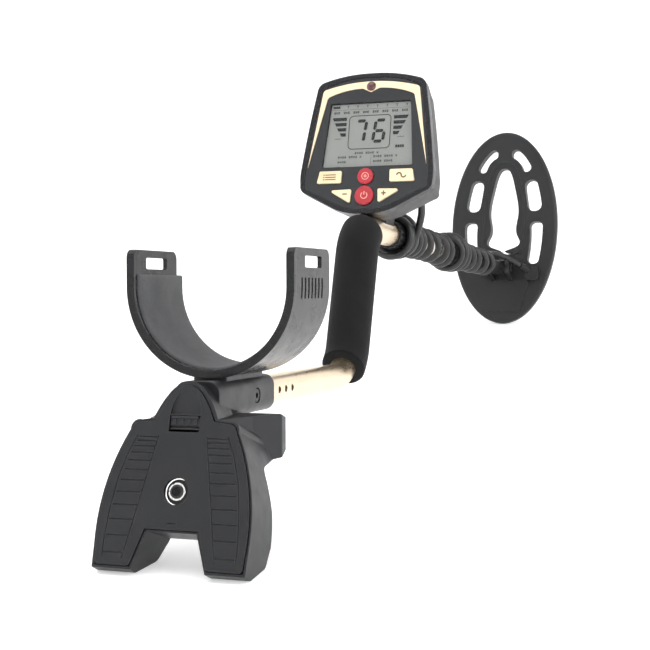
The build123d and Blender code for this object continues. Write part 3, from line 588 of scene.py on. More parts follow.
CHAMPAGNE = Metal("champagne_anodised", (0.84, 0.69, 0.50), roughness=0.30)
BRIGHT_TUBE = Metal("bright_anodised", (0.82, 0.76, 0.66), roughness=0.26)
TRIM = Metal("trim_satin", (0.90, 0.72, 0.50), roughness=0.38, lines=(60, 900, 900))
DARK_STEEL = Metal("blackened_steel", (0.05, 0.05, 0.052), roughness=0.38, lines=(500, 500, 500))
STEEL = Metal("zinc_steel", (0.56, 0.57, 0.58), roughness=0.34, lines=(500, 500, 500))
NICKEL = Metal("nickel_plate", (0.74, 0.73, 0.71), roughness=0.14, lines=(700, 700, 700), line_depth=0.003)
POD_PLASTIC = Moulded(
    "pod_charcoal", (0.009, 0.0095, 0.011), roughness=0.38, grain=0.035, edge=0.8, edge_wear_and_highlight=3.4, specular=0.36,
)
CUP_PLASTIC = Moulded(
    "cup_black", (0.005, 0.005, 0.006), roughness=0.25, grain=0.012, edge=0.9, edge_wear_and_highlight=2.4, specular=0.34,
)
BLACK_PLASTIC = Moulded(
    "black_moulded", (0.006, 0.006, 0.007), roughness=0.36, grain=0.03, edge=0.7, edge_wear_and_highlight=2.6, specular=0.34,
)
BEZEL_PLASTIC = Moulded(
    "bezel_black", (0.005, 0.005, 0.007), roughness=0.27, grain=0.012, edge=1.4, edge_wear_and_highlight=3.4, specular=0.36,
)
SHELL_PLASTIC = Moulded(
    "shell_matt", (0.038, 0.038, 0.041), roughness=0.52, grain=0.05, edge=0.8, edge_wear_and_highlight=1.5, specular=0.4,
)
COIL_PLASTIC = Moulded(
    "coil_matt", (0.010, 0.010, 0.011), roughness=0.44, grain=0.06, edge=0.7, edge_wear_and_highlight=2.8, specular=0.36,
)
INNER_PLASTIC = Moulded("inner_moulded", (0.05, 0.05, 0.055), roughness=0.5)
RUBBER = Moulded("black_rubber", (0.008, 0.008, 0.009), roughness=0.55, grain=0.03, specular=0.35)
GRIP_FOAM = Foam("grip_foam", (0.006, 0.006, 0.007), cell_scale=1100, depth=0.14, sheen=0.05)
PAD_FOAM = Foam("pad_foam", (0.082, 0.083, 0.087), cell_scale=1500, depth=0.05, sheen=0.15)
PANEL = Gloss("key_panel", (0.004, 0.005, 0.007), roughness=0.16, coat=0.3)
STUD_RED = Gloss("stud_red", (0.07, 0.004, 0.008), roughness=0.14, coat=0.8)
KEY_CHAMPAGNE = Gloss("key_champagne", (0.82, 0.66, 0.42), roughness=0.34, coat=0.15, edge=0.3)
KEY_RED = Gloss("key_red", (0.36, 0.012, 0.022), roughness=0.30, coat=0.25, edge=0.4)
CELL_WRAP = Gloss("cell_wrap", (0.04, 0.16, 0.08), roughness=0.25)
LENS = Clear("clear_lens", (0.02, 0.022, 0.022))
CRYSTAL = Crystal("lcd_film", (0.29, 0.30, 0.285))
LCD_INK = Ink("lcd_ink", (0.006, 0.007, 0.008))
LCD_FAINT = Ink("lcd_faint", (0.07, 0.072, 0.07))
KEY_INK = Ink("key_ink", (0.12, 0.06, 0.02))
RED_INK = Ink("red_key_ink", (0.78, 0.36, 0.30))
CABLE = Jacket("cable_jacket", (0.006, 0.006, 0.007))
WEBBING = Woven("strap_webbing", (0.010, 0.010, 0.011))
BOARD = Circuit("circuit_green", (0.02, 0.11, 0.05))
COPPER = Winding("copper_wire", (0.72, 0.36, 0.20))
PAPER = Studio("paper_sweep", (0.92, 0.92, 0.92))

NODE_FINISHES: dict[Finish, tuple[str, ...]] = {
    CHAMPAGNE: ("s_tube",),
    BRIGHT_TUBE: ("middle_tube",),
    TRIM: ("arch_trim",),
    STEEL: ("bracket_screws", "shell_screws", "cup_screws", "battery_contacts", "jack_terminals"),
    DARK_STEEL: ("socket_screw", "headphone_jack"),
    NICKEL: ("jack_nut", "coil_socket"),
    POD_PLASTIC: ("battery_housing", "battery_door", "door_latch"),
    CUP_PLASTIC: ("arm_cup",),
    BLACK_PLASTIC: ("lower_rod", "rod_tip", "upper_collar", "lower_collar", "display_bracket", "coil_plug",
                    "pivot_bolt", "pivot_knob"),
    BEZEL_PLASTIC: ("front_bezel",),
    SHELL_PLASTIC: ("rear_shell",),
    COIL_PLASTIC: ("coil_shell", "coil_cover"),
    INNER_PLASTIC: ("battery_trays", "upper_bush", "lower_bush", "key_switches", "board_components",
                    "speaker"),
    RUBBER: ("strain_relief", "pivot_washers", "cable_lead", "cable_turns_upper", "cable_turns_middle",
             "cable_turns_collar", "cable_turns_lower", "cable_tail"),
    GRIP_FOAM: ("hand_grip",),
    PAD_FOAM: ("arm_pad",),
    PANEL: ("overlay",),
    STUD_RED: ("trim_stud",),
    KEY_CHAMPAGNE: ("menu_key", "frequency_key", "minus_key", "plus_key"),
    KEY_RED: ("pinpoint_key", "power_key"),
    CELL_WRAP: ("battery_cells",),
    LENS: ("screen_lens",),
    CRYSTAL: ("lcd_panel", "backlight"),
    WEBBING: ("cable_strap",),
    BOARD: ("circuit_board",),
    COPPER: ("transmit_winding", "receive_winding"),
}


def dress_nodes(nodes: dict[str, bpy.types.Object]) -> None:
    """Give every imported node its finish."""
    for finish, names in NODE_FINISHES.items():
        for name in names:
            mesh_slots = nodes[name].material_slots
            for mesh_slot in mesh_slots:
                mesh_slot.material = finish.material()
            if not mesh_slots:
                nodes[name].data.materials.append(finish.material())


# ---------------------------------------------------------------------------------------------- making


def new_piece(name: str, form: Form, place: Matrix, finish: Finish) -> bpy.types.Object:
    """Turn a finished form into an object whose place is in its mesh.

    Args:
        name: the piece's name.
        form: the form in its own coordinates, in millimetres.
        place: the matrix from those coordinates to the row frame.
        finish: the piece's finish.

    Returns:
        The new object, at the origin.
    """
    bmesh.ops.transform(form, matrix=place, verts=form.verts)
    bmesh.ops.remove_doubles(form, verts=form.verts, dist=1e-7)
    bmesh.ops.recalc_face_normals(form, faces=form.faces)
    mesh = bpy.data.meshes.new(name)
    form.to_mesh(mesh)
    form.free()
    mesh.polygons.foreach_set("use_smooth", [True] * len(mesh.polygons))
    mesh.set_sharp_from_angle(angle=SMOOTH_ANGLE)
    mesh.materials.append(finish.material())
    piece = bpy.data.objects.new(name, mesh)
    bpy.context.scene.collection.objects.link(piece)
    LOG.info("%s: %d faces", name, len(mesh.polygons))
    return piece


def edge_loop(vertices: Iterable[Vert]) -> list[bmesh.types.BMEdge]:
    """The edges that join vertices of one ring."""
    members = set(vertices)
    return [edge for edge in {e for v in members for e in v.link_edges} if set(edge.verts) <= members]


def add_ring(form: Form, outline: Sequence[Flat], place: Matrix) -> list[Vert]:
    """A closed ring of vertices in the XY plane of a matrix."""
    ring = [form.verts.new(place @ Vector((x, y, 0))) for x, y in outline]
    for here, there in zip(ring, ring[1:] + ring[:1]):
        form.edges.new((here, there))
    return ring


def skin(form: Form, rings: Sequence[Sequence[Vert]], closed: bool = False) -> None:
    """Join rings one after another, and cap the first and the last unless they close on each other."""
    pairs = list(zip(rings, rings[1:]))
    if closed:
        pairs.append((rings[-1], rings[0]))
    for near, far in pairs:
        bmesh.ops.bridge_loops(form, edges=edge_loop(near) + edge_loop(far))
    if not closed:
        bmesh.ops.contextual_create(form, geom=list(rings[0]))
        bmesh.ops.contextual_create(form, geom=list(rings[-1]))


def round_outline(radius: float, sides: int) -> list[Flat]:
    """A circle as a ring outline."""
    return [(radius * cos(tau * step / sides), radius * sin(tau * step / sides)) for step in range(sides)]


def plate(form: Form, outline: Sequence[Flat], low: float, high: float, soften: float = 0.0) -> None:
    """A flat plate raised from an outline, its upper edge softened.

    Args:
        form: the form that the plate joins.
        outline: corners in the plane, in order.
        low: height of the underside.
        high: height of the top.
        soften: bevel width round the top.
    """
    ring = add_ring(form, outline, Matrix.Translation((0, 0, low)))
    face = bmesh.ops.contextual_create(form, geom=ring)["faces"][0]
    raised = bmesh.ops.extrude_face_region(form, geom=[face], use_keep_orig=True)["geom"]
    top = [item for item in raised if isinstance(item, Vert)]
    bmesh.ops.translate(form, vec=(0, 0, high - low), verts=top)
    if soften > 0:
        bmesh.ops.bevel(
            form, geom=edge_loop(top), offset=soften, affect="EDGES", segments=2, profile=0.5, material=-1,
        )


def bar(length: float, width: float, x: float = 0, y: float = 0, angle: float = 0) -> list[Flat]:
    """A straight bar's four corners about a centre, turned by an angle in degrees."""
    turn = Matrix.Rotation(radians(angle), 2)
    half, side = length / 2, width / 2
    corners = [(-half, -side), (half, -side), (half, side), (-half, side)]
    return [tuple(turn @ Vector(corner) + Vector((x, y))) for corner in corners]


def rounded_bar(
    half_x: float, half_y: float, radius: float, x: float = 0, y: float = 0, steps: int = 4,
) -> list[Flat]:
    """A rectangle with round corners."""
    outline = []
    for quarter, (side_x, side_y) in enumerate(((1, 1), (-1, 1), (-1, -1), (1, -1))):
        for step in range(steps + 1):
            angle = (quarter + step / steps) * pi / 2
            outline.append((
                x + side_x * (half_x - radius) + radius * cos(angle),
                y + side_y * (half_y - radius) + radius * sin(angle),
            ))
    return outline


def smooth_route(name: str, points: Sequence[Vector]) -> tuple[bpy.types.Object, list[Vector]]:
    """A NURBS line through the row frame, and the points along it.

    Args:
        name: the curve's name.
        points: the control points, in metres.

    Returns:
        The curve object, without thickness, and the points read from it.
    """
    curve = bpy.data.curves.new(name, "CURVE")
    curve.dimensions = "3D"
    curve.resolution_u = 6
    spline = curve.splines.new("NURBS")
    spline.points.add(len(points) - 1)
    for control, point in zip(spline.points, points):
        control.co = (*point, 1)
    spline.order_u = 3
    spline.use_endpoint_u = True
    line = bpy.data.objects.new(name, curve)
    bpy.context.scene.collection.objects.link(line)
    bpy.context.view_layer.update()
    drawn = bpy.data.meshes.new_from_object(line)
    path = [vertex.co.copy() for vertex in drawn.vertices]
    bpy.data.meshes.remove(drawn)
    return line, path


def tube_on(
    name: str, points: Sequence[Vector], diameter: float, finish: Finish,
) -> tuple[bpy.types.Object, list[Vector]]:
    """A round mesh tube on a smooth route.

    Args:
        name: the piece's name.
        points: the route's control points, in metres.
        diameter: the tube's diameter, in metres.
        finish: the tube's finish.

    Returns:
        The tube, and the points that it follows.
    """
    line, path = smooth_route(name + "_route", points)
    line.data.bevel_depth = diameter / 2
    line.data.bevel_resolution = 4
    line.data.use_fill_caps = True
    bpy.context.view_layer.update()
    mesh = bpy.data.meshes.new_from_object(line)
    curve = line.data
    bpy.data.objects.remove(line)
    bpy.data.curves.remove(curve)
    form = bmesh.new()
    form.from_mesh(mesh)
    bpy.data.meshes.remove(mesh)
    return new_piece(name, form, Matrix.Identity(4), finish), path


# ----------------------------------------------------------------------------------------------- cable


@dataclass
class CoilCable:
    """The coil's cable: from the plug, wound round the rod, under the strap and into the coil."""

    stand: Stand
    diameter: float = 7.0
    rod: RodLine = field(default_factory=RodLine)
    lead: tuple[Point, ...] = ((30, 404.2, 165.6), (30, 419.9, 162.1), (28.5, 433, 153), (24.5, 441, 140))
    turns: tuple[Point, ...] = (
        (0.0, 19.7, 18.0), (0.5, 16.0, 17.6), (1.0, 12.4, 17.2), (2.0, 5.2, 17.2), (2.25, 7.5, 19.5),
        (2.5, 15.0, 24.0),
        (2.75, 24.0, 21.0), (3.0, 28.0, 15.5), (4.0, 36.0, 13.6), (5.0, 53.0, 13.6), (6.0, 66.0, 14.2),
        (7.0, 94.0, 13.6), (8.0, 122.0, 13.8), (9.0, 158.0, 13.6), (10.0, 176.0, 14.4), (11.0, 207.0, 18.4),
        (12.0, 222.0, 19.0), (13.0, 244.0, 16.5), (14.0, 286.0, 12.6), (15.0, 310.0, 13.2),
        (16.0, 352.0, 12.4),
        (17.0, 384.0, 12.6), (17.75, 398.0, 11.99),
    )
    points_per_turn: int = 14
    stretch: Flat = (246.0, 397.0)
    strap_start: float = 398.0
    strap_length: float = 16.0
    seat: float = 11.99
    tail: tuple[Point, ...] = ((1.2, 858, 121.2), (6.5, 877.5, 120), (16, 896.3, 115.3), (26.0, 907.7, 107.5))

    def wound(self) -> list[Vector]:
        """Control points of the turns, between the stations of the winding."""
        swell = 1 / cos(pi / self.points_per_turn)
        points = []
        for (turn, along, radius), (next_turn, next_along, next_radius) in zip(self.turns, self.turns[1:]):
            steps = round((next_turn - turn) * self.points_per_turn)
            for step in range(steps):
                share = step / steps
                sway = 1 + 0.02 * sin(5.0 * (turn + share * (next_turn - turn)))
                points.append(self.rod.at(
                    along + share * (next_along - along),
                    tau * (turn + share * (next_turn - turn)),
                    (radius + share * (next_radius - radius)) * swell * sway,
                ))
        return points

    def build_winding(self) -> bpy.types.Object:
        """The lead and the turns."""
        middle = self.strap_start + self.strap_length / 2
        seated = [self.rod.at(along, -pi / 2, self.seat) for along in (self.strap_start, middle)]
        control = [Vector(point) for point in self.lead] + self.wound() + seated
        control = [self.stand.row(point) for point in control]
        piece, path = tube_on("cable_winding", control, self.diameter * MM, CABLE)
        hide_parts("cable_lead", "cable_turns_upper", "cable_turns_middle", "cable_turns_collar",
                    "cable_turns_lower")
        still, moving = (self.stand.row(self.rod.at(along, 0, 0)) for along in self.stretch)
        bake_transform(piece)
        return piece

    def build_tail(self) -> bpy.types.Object:
        """The short loop from the strap into the coil's gland."""
        middle = self.strap_start + self.strap_length / 2
        ahead = self.strap_start + self.strap_length + 1
        control = [self.rod.at(along, -pi / 2, self.seat) for along in (middle, ahead)]
        control += [Vector(point) for point in self.tail]
        control = [self.stand.row(point) for point in control]
        piece, path = tube_on("cable_tail_loop", control, self.diameter * MM, CABLE)
        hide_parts("cable_tail")
        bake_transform(piece)
        return piece


@dataclass
class CableStrap:
    """Hook-and-loop strap that ties the cable to the lower rod."""

    stand: Stand
    rod: RodLine = field(default_factory=RodLine)
    start: float = 398.0
    width: float = 16.0
    rod_radius: float = 8.3
    cable_radius: float = 3.6
    cable_seat: float = 11.99
    thick: float = 1.2
    sides: int = 44

    def outline(self, grow: float) -> list[Flat]:
        """The band's shape round the rod and the cable, seen along the rod."""
        points = []
        for step in range(self.sides):
            angle = tau * step / self.sides
            way = Vector((cos(angle), sin(angle)))
            reach = self.rod_radius + grow
            cable = Vector((0, -self.cable_seat))
            along = cable.dot(way)
            across = (cable - along * way).length
            if along > 0 and across < self.cable_radius + grow:
                bulge = along + ((self.cable_radius + grow) ** 2 - across**2) ** 0.5
                reach = max(reach, bulge)
            points.append((reach, angle))
        eased = []
        for step in range(self.sides):
            near = [points[(step + shift) % self.sides][0] for shift in (-2, -1, 0, 1, 2)]
            reach = max(points[step][0], sum(near) / len(near))
            eased.append((reach * cos(points[step][1]), reach * sin(points[step][1])))
        return eased

    def build(self) -> bpy.types.Object:
        """The closed band with soft edges, and its loose tab end."""
        form = bmesh.new()
        place = self.rod.matrix()
        stations = ((0.0, 0.02), (0.0, 1.0), (0.02, 1.0), (0.98, 1.0), (1.0, 1.0), (1.0, 0.02))
        rings = []
        for share, out in stations:
            along = self.start + self.width * share
            spot = place @ Matrix.Translation((0, 0, along))
            rings.append(add_ring(form, self.outline(self.thick * out), spot))
        skin(form, rings, closed=True)
        tab_outline = rounded_bar(6.5, 7.4, 2.5)
        lay = Matrix.Translation((0, self.rod_radius + self.thick, self.start + self.width / 2))
        lay = lay @ Matrix.Rotation(-pi / 2, 4, "X")
        tab = bmesh.new()
        plate(tab, tab_outline, 0.0, 1.1, soften=0.3)
        bmesh.ops.subdivide_edges(tab, edges=tab.edges, cuts=2, use_grid_fill=True)
        for vertex in tab.verts:
            vertex.co.z -= (vertex.co.x**2) / (2 * (self.rod_radius + self.thick))
        bmesh.ops.transform(tab, matrix=place @ lay, verts=tab.verts)
        tab_mesh = bpy.data.meshes.new("strap_tab")
        tab.to_mesh(tab_mesh)
        tab.free()
        form.from_mesh(tab_mesh)
        bpy.data.meshes.remove(tab_mesh)
        piece = new_piece("rod_strap", form, self.stand.to_row, WEBBING)
        soften_edges(piece, 0.35, 2)
        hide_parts("cable_strap")
        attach(piece, "rod")
        return piece


def soften_edges(piece: bpy.types.Object, width: float, segments: int) -> None:
    """Round a piece's sharp edges by a width in millimetres."""
    rounding = piece.modifiers.new("edges", "BEVEL")
    rounding.width = width * MM
    rounding.segments = segments
    rounding.limit_method = "ANGLE"
    rounding.angle_limit = radians(40)
    rounding.harden_normals = False


# ------------------------------------------------------------------------------------------ soft pieces


@dataclass
class GripSleeve:
    """Foam sleeve on the upright run of the S-tube."""

    stand: Stand
    radius: float = 19.0
    bore: float = 11.16
    bend_radius: float = 36.0
    lower_corner: Flat = (286.0, 0.0)
    upper_corner: Flat = (328.0, 131.0)
    front_end: Flat = (425.3, 126.5)
    lower_share: float = 0.494
    upper_share: float = 0.591
    end_round: float = 2.6
    sides: int = 56

    def line(self) -> list[tuple[Vector, Vector]]:
        """Points on the sleeve's centre line, each with its way forward."""
        low = Vector((0, *self.lower_corner))
        high = Vector((0, *self.upper_corner))
        end = Vector((0, *self.front_end))
        rise = (high - low).normalized()
        ahead = (end - high).normalized()
        stations = []
        stations += self.bend(low, Vector((0, 1, 0)), rise, self.lower_share, 1.0)
        stations += self.bend(high, rise, ahead, 0.0, self.upper_share)
        return stations

    def bend(
        self, corner: Vector, arriving: Vector, leaving: Vector, start: float, end: float,
    ) -> list[tuple[Vector, Vector]]:
        """Points on one bend's arc between two shares of it."""
        turn = arriving.angle(leaving)
        side = (leaving - arriving * arriving.dot(leaving)).normalized()
        tangent = self.bend_radius * sin(turn / 2) / cos(turn / 2)
        centre = corner - arriving * tangent + side * self.bend_radius
        stations = []
        steps = 14
        for step in range(steps + 1):
            angle = turn * (start + (end - start) * step / steps)
            way = arriving * cos(angle) + side * sin(angle)
            spot = centre - side * self.bend_radius * cos(angle) + arriving * self.bend_radius * sin(angle)
            stations.append((spot, way))
        return stations

    def build(self) -> bpy.types.Object:
        """The sleeve with rounded ends and its bore round the tube."""
        form = bmesh.new()
        stations = self.line()
        rings = []
        for spot, way in stations:
            rings.append(add_ring(form, round_outline(self.radius, self.sides), self.facing(spot, way)))
        for spot, way in reversed(stations):
            rings.append(add_ring(form, round_outline(self.bore, self.sides), self.facing(spot, way)))
        skin(form, rings, closed=True)
        ends = [edge for ring in (rings[0], rings[len(stations) - 1]) for edge in edge_loop(ring)]
        bmesh.ops.bevel(
            form, geom=ends, offset=self.end_round, affect="EDGES", segments=4, profile=0.5, material=-1,
        )
        piece = new_piece("grip_sleeve", form, self.stand.to_row, GRIP_FOAM)
        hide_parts("hand_grip")
        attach(piece, "frame")
        return piece

    @staticmethod
    def facing(spot: Vector, way: Vector) -> Matrix:
        """A ring's matrix: its plane square to the way."""
        across = Vector((1, 0, 0))
        return axes_matrix(across, way.cross(across), way, spot)


@dataclass
class CupLining:
    """Foam lining of the arm cup."""

    stand: Stand
    outer: float = 57.7
    thick: float = 3.6
    centre_z: float = 75.4
    top_z: float = 84.5
    rear: float = 11.4
    front: float = 79.6
    edge_round: float = 1.5
    end_swell: float = 0.55

    def profile(self) -> list[Flat]:
        """The lining's thickness and width as a soft-edged bar: outwards, and along the tube."""
        middle = (self.rear + self.front) / 2
        return rounded_bar(self.thick / 2, (self.front - self.rear) / 2, self.edge_round, 0, middle, steps=3)

    def build(self) -> bpy.types.Object:
        """The lining bent into its U."""
        form = bmesh.new()
        bend = self.outer - self.thick / 2
        rings = []
        arc_steps = 40
        straight = self.top_z - self.centre_z
        for height in (straight, straight - 1.2, straight / 2):
            spot = Vector((bend, 0, self.centre_z + height))
            rings.append(self.section(form, spot, 0.0, self.end_swell if height == straight else 1.0))
        for step in range(arc_steps + 1):
            angle = -pi * step / arc_steps
            spot = Vector((bend * cos(angle), 0, self.centre_z + bend * sin(angle)))
            rings.append(self.section(form, spot, angle, 1.0))
        for height in (straight / 2, straight - 1.2, straight):
            spot = Vector((-bend, 0, self.centre_z + height))
            rings.append(self.section(form, spot, -pi, self.end_swell if height == straight else 1.0))
        skin(form, rings)
        piece = new_piece("cup_lining", form, self.stand.to_row, PAD_FOAM)
        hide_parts("arm_pad")
        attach(piece, "pod")
        return piece

    def section(self, form: Form, spot: Vector, angle: float, swell: float) -> list[Vert]:
        """One ring of the lining, turned to face outwards at an angle."""
        outward = Vector((cos(angle), 0, sin(angle)))
        along = Vector((0, 1, 0))
        place = axes_matrix(outward * swell, along, outward.cross(along), spot)
        return add_ring(form, self.profile(), place)


@dataclass
class JackLiner:
    """Dark insulating cup inside the headphone jack's bore."""

    stand: Stand
    up_door: float = 48.6
    outer: float = 3.12
    inner: float = 2.75
    mouth: float = -1.2
    floor: float = -13.0
    sides: int = 40

    def build(self) -> bpy.types.Object:
        """The cup, open at its mouth."""
        form = bmesh.new()
        rings = []
        for radius, height in (
            (self.inner, self.floor + 1), (self.inner, self.mouth),
            (self.outer, self.mouth), (self.outer, self.floor),
        ):
            place = Matrix.Translation((0, self.up_door, height))
            rings.append(add_ring(form, round_outline(radius, self.sides), place))
        skin(form, rings)
        piece = new_piece("jack_liner", form, self.stand.to_row @ Face.DOOR.matrix(), RUBBER)
        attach(piece, "pod")
        return piece


# --------------------------------------------------------------------------------------------- display


@dataclass
class ScreenMarks:
    """What the liquid crystal panel shows: two figures in a frame, stepped bars and small marks."""

    stand: Stand
    low: float = -2.79
    high: float = -2.68
    slant: float = 7.0

    def figure(self, form: Form, x: float, lit: str, width: float = 9.5, tall: float = 20.0) -> None:
        """A seven-segment figure.

        Args:
            form: the form that it joins.
            x: the figure's middle.
            lit: the segments that are on, a to g.
            width: the figure's width.
            tall: the figure's height.
        """
        foot = 24.0
        half = tall / 2
        strokes = {
            "a": (0, tall, 0), "g": (0, half, 0), "d": (0, 0, 0),
            "b": (width / 2, half * 1.5, 90), "c": (width / 2, half * 0.5, 90),
            "f": (-width / 2, half * 1.5, 90), "e": (-width / 2, half * 0.5, 90),
        }
        for segment in lit:
            across, up, angle = strokes[segment]
            length = (half if angle else width) - 1.6
            corners = self.pointed(length, 3.0)
            turn = Matrix.Rotation(radians(angle), 2)
            outline = []
            for corner in corners:
                spot = turn @ Vector(corner) + Vector((across, up))
                outline.append((x + spot.x + spot.y * sin(radians(self.slant)), foot + spot.y))
            plate(form, outline, self.low, self.high)

    @staticmethod
    def pointed(length: float, width: float) -> list[Flat]:
        """A segment with blunt pointed ends."""
        inner = length / 2 - width / 3
        tip, side = length / 2, width / 2
        return [(-tip, 0), (-inner, -side), (inner, -side), (tip, 0), (inner, side), (-inner, side)]

    def build(self) -> list[bpy.types.Object]:
        """The dark marks and the faint ones."""
        place = self.stand.to_row @ Face.SCREEN.matrix()
        dark = bmesh.new()
        self.figure(dark, -10.3, "abc")
        self.figure(dark, 8.2, "acdefg")
        self.frame(dark)
        for side in (-1, 1):
            for v, outer in ((46.4, 36.6), (41.4, 34.2), (36.4, 31.6), (31.4, 28.8)):
                inner = 22.6
                low_end, high_end = side * (outer - 1.7), side * outer
                corners = [
                    (side * inner, v - 1.6), (low_end, v - 1.6), (high_end, v + 1.6), (side * inner, v + 1.6),
                ]
                plate(dark, corners if side > 0 else corners[::-1], self.low, self.high)
        plate(dark, bar(7.0, 2.2, -33.2, 58.0), self.low, self.high)
        for step in range(4):
            plate(dark, bar(1.7, 2.6, 26.4 + 2.1 * step, 18.6), self.low, self.high)
        faint = bmesh.new()
        for step in range(7):
            x = -22.0 + 9.4 * step
            plate(faint, bar(0.8, 2.0, x, 58.0), self.low, self.high)
            plate(faint, bar(2.0, 0.5, x, 58.9), self.low, self.high)
        for step in range(8):
            x = -32.5 + 9.3 * step
            for part in range(3):
                plate(faint, bar(1.6, 2.4 - 0.5 * (part % 2), x - 2 + 2.0 * part, 52.6), self.low, self.high)
        for side in (-1, 1):
            for part in range(3):
                plate(faint, bar(1.6, 0.8, side * (28 + 2.2 * part), 27.6), self.low, self.high)
        for row, (start, count) in enumerate(((-12, 11), (-28, 11), (6, 11), (-28, 5), (6, 10))):
            v = (13.4, 9.8, 9.8, 5.2, 5.2)[row]
            for part in range(count):
                if part % 5 != 4:
                    tall = 2.1 - 0.5 * (part % 3 == 1)
                    plate(faint, bar(1.5, tall, start + 2.1 * part, v), self.low, self.high)
        plate(faint, bar(76, 0.25, 0, 55.4), self.low, self.high)
        plate(faint, bar(0.25, 9.0, 3.0, 6.5), self.low, self.high)
        pieces = [
            new_piece("lcd_dark_marks", dark, place, LCD_INK),
            new_piece("lcd_faint_marks", faint, place, LCD_FAINT),
        ]
        for piece in pieces:
            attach(piece, "frame")
        return pieces

    def frame(self, form: Form) -> None:
        """The rounded frame round the two figures."""
        outer = rounded_bar(20.2, 16.2, 4.0, 0, 33.2)
        inner = rounded_bar(19.5, 15.5, 3.4, 0, 33.2)
        rings = []
        for outline, height in ((outer, self.low), (outer, self.high), (inner, self.high), (inner, self.low)):
            rings.append(add_ring(form, outline, Matrix.Translation((0, 0, height))))
        skin(form, rings, closed=True)


class KeyMark(Enum):
    """The generic mark on each key."""

    LIST = "menu_key"
    WAVE = "frequency_key"
    LESS = "minus_key"
    MORE = "plus_key"
    TARGET = "pinpoint_key"
    POWER = "power_key"


@dataclass
class KeyMarks:
    """Marks printed in relief on the six keys."""

    stand: Stand
    top: float = 1.2
    relief: float = 0.14
    centres: dict[KeyMark, Flat] = field(default_factory=lambda: {
        KeyMark.LIST: (-34.0, -10.0), KeyMark.WAVE: (34.0, -10.0), KeyMark.LESS: (-18.4, -26.3),
        KeyMark.MORE: (18.4, -26.3), KeyMark.TARGET: (0.0, -9.8), KeyMark.POWER: (0.0, -27.9),
    })

    def shape(self, mark: KeyMark, form: Form) -> None:
        """Draw one mark about the origin."""
        high = self.relief
        if mark is KeyMark.LIST:
            for row in (-2.2, 0, 2.2):
                plate(form, bar(10, 0.8, 0.8, row), -0.2, high)
                plate(form, bar(1.1, 1.0, -5.6, row), -0.2, high)
        elif mark is KeyMark.WAVE:
            self.arc(form, 2.1, 0, pi, -2.1, 0.0, 1.25)
            self.arc(form, 2.1, pi, tau, 2.1, 0.0, 1.25)
        elif mark is KeyMark.LESS:
            plate(form, bar(4.4, 1.1), -0.2, high)
        elif mark is KeyMark.MORE:
            plate(form, [
                (-2.2, -0.55), (-0.55, -0.55), (-0.55, -2.2), (0.55, -2.2), (0.55, -0.55), (2.2, -0.55),
                (2.2, 0.55), (0.55, 0.55), (0.55, 2.2), (-0.55, 2.2), (-0.55, 0.55), (-2.2, 0.55),
            ], -0.2, high)
        elif mark is KeyMark.TARGET:
            self.arc(form, 3.2, 0, tau, 0, 0, 0.6)
            self.arc(form, 0.9, 0, tau, 0, 0, 0.8)
        else:
            self.arc(form, 3.0, radians(125), radians(415), 0, 0, 0.75)
            plate(form, bar(0.8, 3.2, 0, 2.2), -0.2, high)

    def arc(
        self, form: Form, radius: float, start: float, end: float, x: float, y: float, width: float,
    ) -> None:
        """A curved stroke as a chain of bars that share their ends."""
        steps = max(6, round(18 * (end - start) / tau))
        outer = []
        inner = []
        for step in range(steps + 1):
            angle = start + (end - start) * step / steps
            outer.append((x + (radius + width / 2) * cos(angle), y + (radius + width / 2) * sin(angle)))
            inner.append((x + (radius - width / 2) * cos(angle), y + (radius - width / 2) * sin(angle)))
        for step in range(steps):
            plate(form, [inner[step], outer[step], outer[step + 1], inner[step + 1]], -0.2, self.relief)

    def build(self) -> list[bpy.types.Object]:
        """One raised mark on each key, moving with it."""
        pieces = []
        for mark, (x, v) in self.centres.items():
            form = bmesh.new()
            self.shape(mark, form)
            round_key = mark in (KeyMark.TARGET, KeyMark.POWER)
            place = self.stand.to_row @ Face.SCREEN.matrix() @ Matrix.Translation((x, v, self.top))
            piece = new_piece(mark.value + "_mark", form, place, RED_INK if round_key else KEY_INK)
            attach(piece, mark.value)
            pieces.append(piece)
        return pieces


# ---------------------------------------------------------------------------------------------- studio


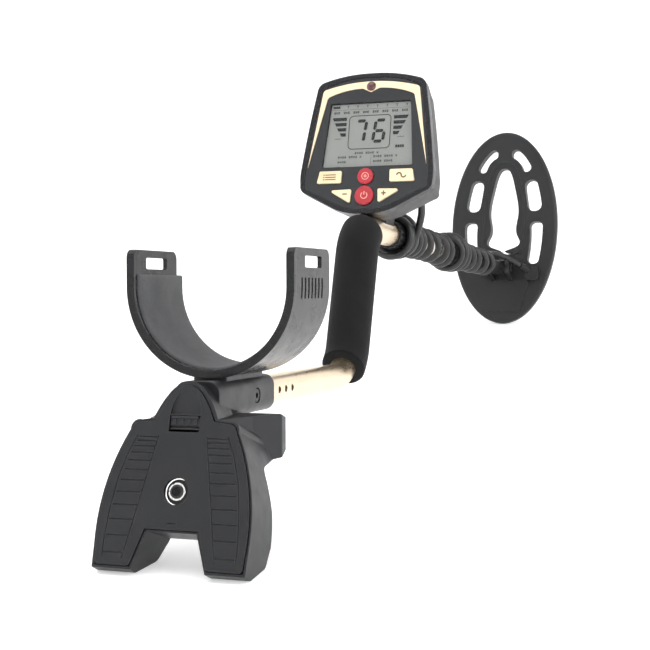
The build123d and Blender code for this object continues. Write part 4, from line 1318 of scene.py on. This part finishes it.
@dataclass
class StudioSet:
    """Paper sweep, soft lights and camera."""

    stand: Stand
    camera_at: Point = (375.90, -806.50, 70.31)
    camera_right: Point = (0.940713, 0.339182, -0.003913)
    camera_up: Point = (-0.004147, 0.023035, 0.999726)
    lens: float = 73.95
    sensor: float = 36.0

    def sweep(self) -> bpy.types.Object:
        """A round floor that curves up into a wall all round the object."""
        form = bmesh.new()
        wall, bend, height, steps = 5.0, 2.0, 6.0, 12
        profile = [(0.0, 0.0), (wall - bend, 0.0)]
        for step in range(1, steps + 1):
            angle = pi / 2 * step / steps
            profile.append((wall - bend + bend * sin(angle), bend - bend * cos(angle)))
        profile.append((wall, height))
        line = [form.verts.new((x, 0, z)) for x, z in profile]
        edges = [form.edges.new(pair) for pair in zip(line, line[1:])]
        bmesh.ops.spin(
            form, geom=line + edges, cent=(0, 0, 0), axis=(0, 0, 1), angle=tau, steps=64, use_merge=True,
        )
        bmesh.ops.remove_doubles(form, verts=form.verts, dist=1e-5)
        bmesh.ops.recalc_face_normals(form, faces=form.faces)
        form.normal_update()
        floor = min(form.faces, key=lambda face: face.calc_center_median().length)
        if floor.normal.z < 0:
            bmesh.ops.reverse_faces(form, faces=form.faces)
        mesh = bpy.data.meshes.new("paper_sweep")
        form.to_mesh(mesh)
        form.free()
        mesh.polygons.foreach_set("use_smooth", [True] * len(mesh.polygons))
        mesh.materials.append(PAPER.material())
        paper = bpy.data.objects.new("paper_sweep", mesh)
        bpy.context.scene.collection.objects.link(paper)
        return paper

    def softbox(self, name: str, at: Point, aim: Point, size: float, power: float) -> None:
        """A square area light that faces a point, all in metres."""
        data = bpy.data.lights.new(name, "AREA")
        data.size = size
        data.energy = power
        light = bpy.data.objects.new(name, data)
        light.location = at
        light.rotation_euler = (Vector(aim) - Vector(at)).to_track_quat("-Z", "Y").to_euler()
        bpy.context.scene.collection.objects.link(light)

    def lights(self) -> None:
        """A big softbox overhead, one on each side, and an even surround."""
        aim = (0.0, 0.0, 0.15)
        self.softbox("overhead", (-0.4, -0.4, 2.4), aim, 2.2, 30)
        self.softbox("right_side", (2.2, -0.6, 1.1), aim, 1.6, 24)
        self.softbox("left_side", (-2.2, -1.2, 1.2), aim, 1.4, 7)
        self.softbox("behind_camera", (0.6, -2.6, 1.0), aim, 1.6, 4)
        world = bpy.data.worlds.new("surround")
        world.use_nodes = True
        world.node_tree.nodes["Background"].inputs["Color"].default_value = (1, 1, 1, 1)
        world.node_tree.nodes["Background"].inputs["Strength"].default_value = 0.34
        bpy.context.scene.world = world

    def camera(self) -> bpy.types.Object:
        """The camera that looks forward along the detector."""
        right = self.stand.way(self.camera_right)
        up = self.stand.way(self.camera_up)
        data = bpy.data.cameras.new("view")
        data.lens = self.lens
        data.sensor_width = self.sensor
        data.clip_start = 0.01
        data.clip_end = 60
        camera = bpy.data.objects.new("view", data)
        camera.matrix_world = axes_matrix(right, up, right.cross(up), self.stand.row(self.camera_at))
        bpy.context.scene.collection.objects.link(camera)
        bpy.context.scene.camera = camera
        return camera


def main() -> None:
    """Load the frame and build every piece."""
    logging.basicConfig(level=logging.INFO, format="%(message)s")
    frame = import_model()
    stand = Stand.read(frame)
    studio = StudioSet(stand)
    studio.camera()
    cable = CoilCable(stand)
    cable.build_winding()
    cable.build_tail()
    CableStrap(stand).build()
    GripSleeve(stand).build()
    CupLining(stand).build()
    JackLiner(stand).build()
    ScreenMarks(stand).build()
    KeyMarks(stand).build()
    dress_nodes(frame["nodes"])
    studio.sweep()
    studio.lights()
    bpy.context.scene.view_settings.view_transform = "Standard"
    bpy.context.view_layer.update()


if __name__ == "__main__":
    main()
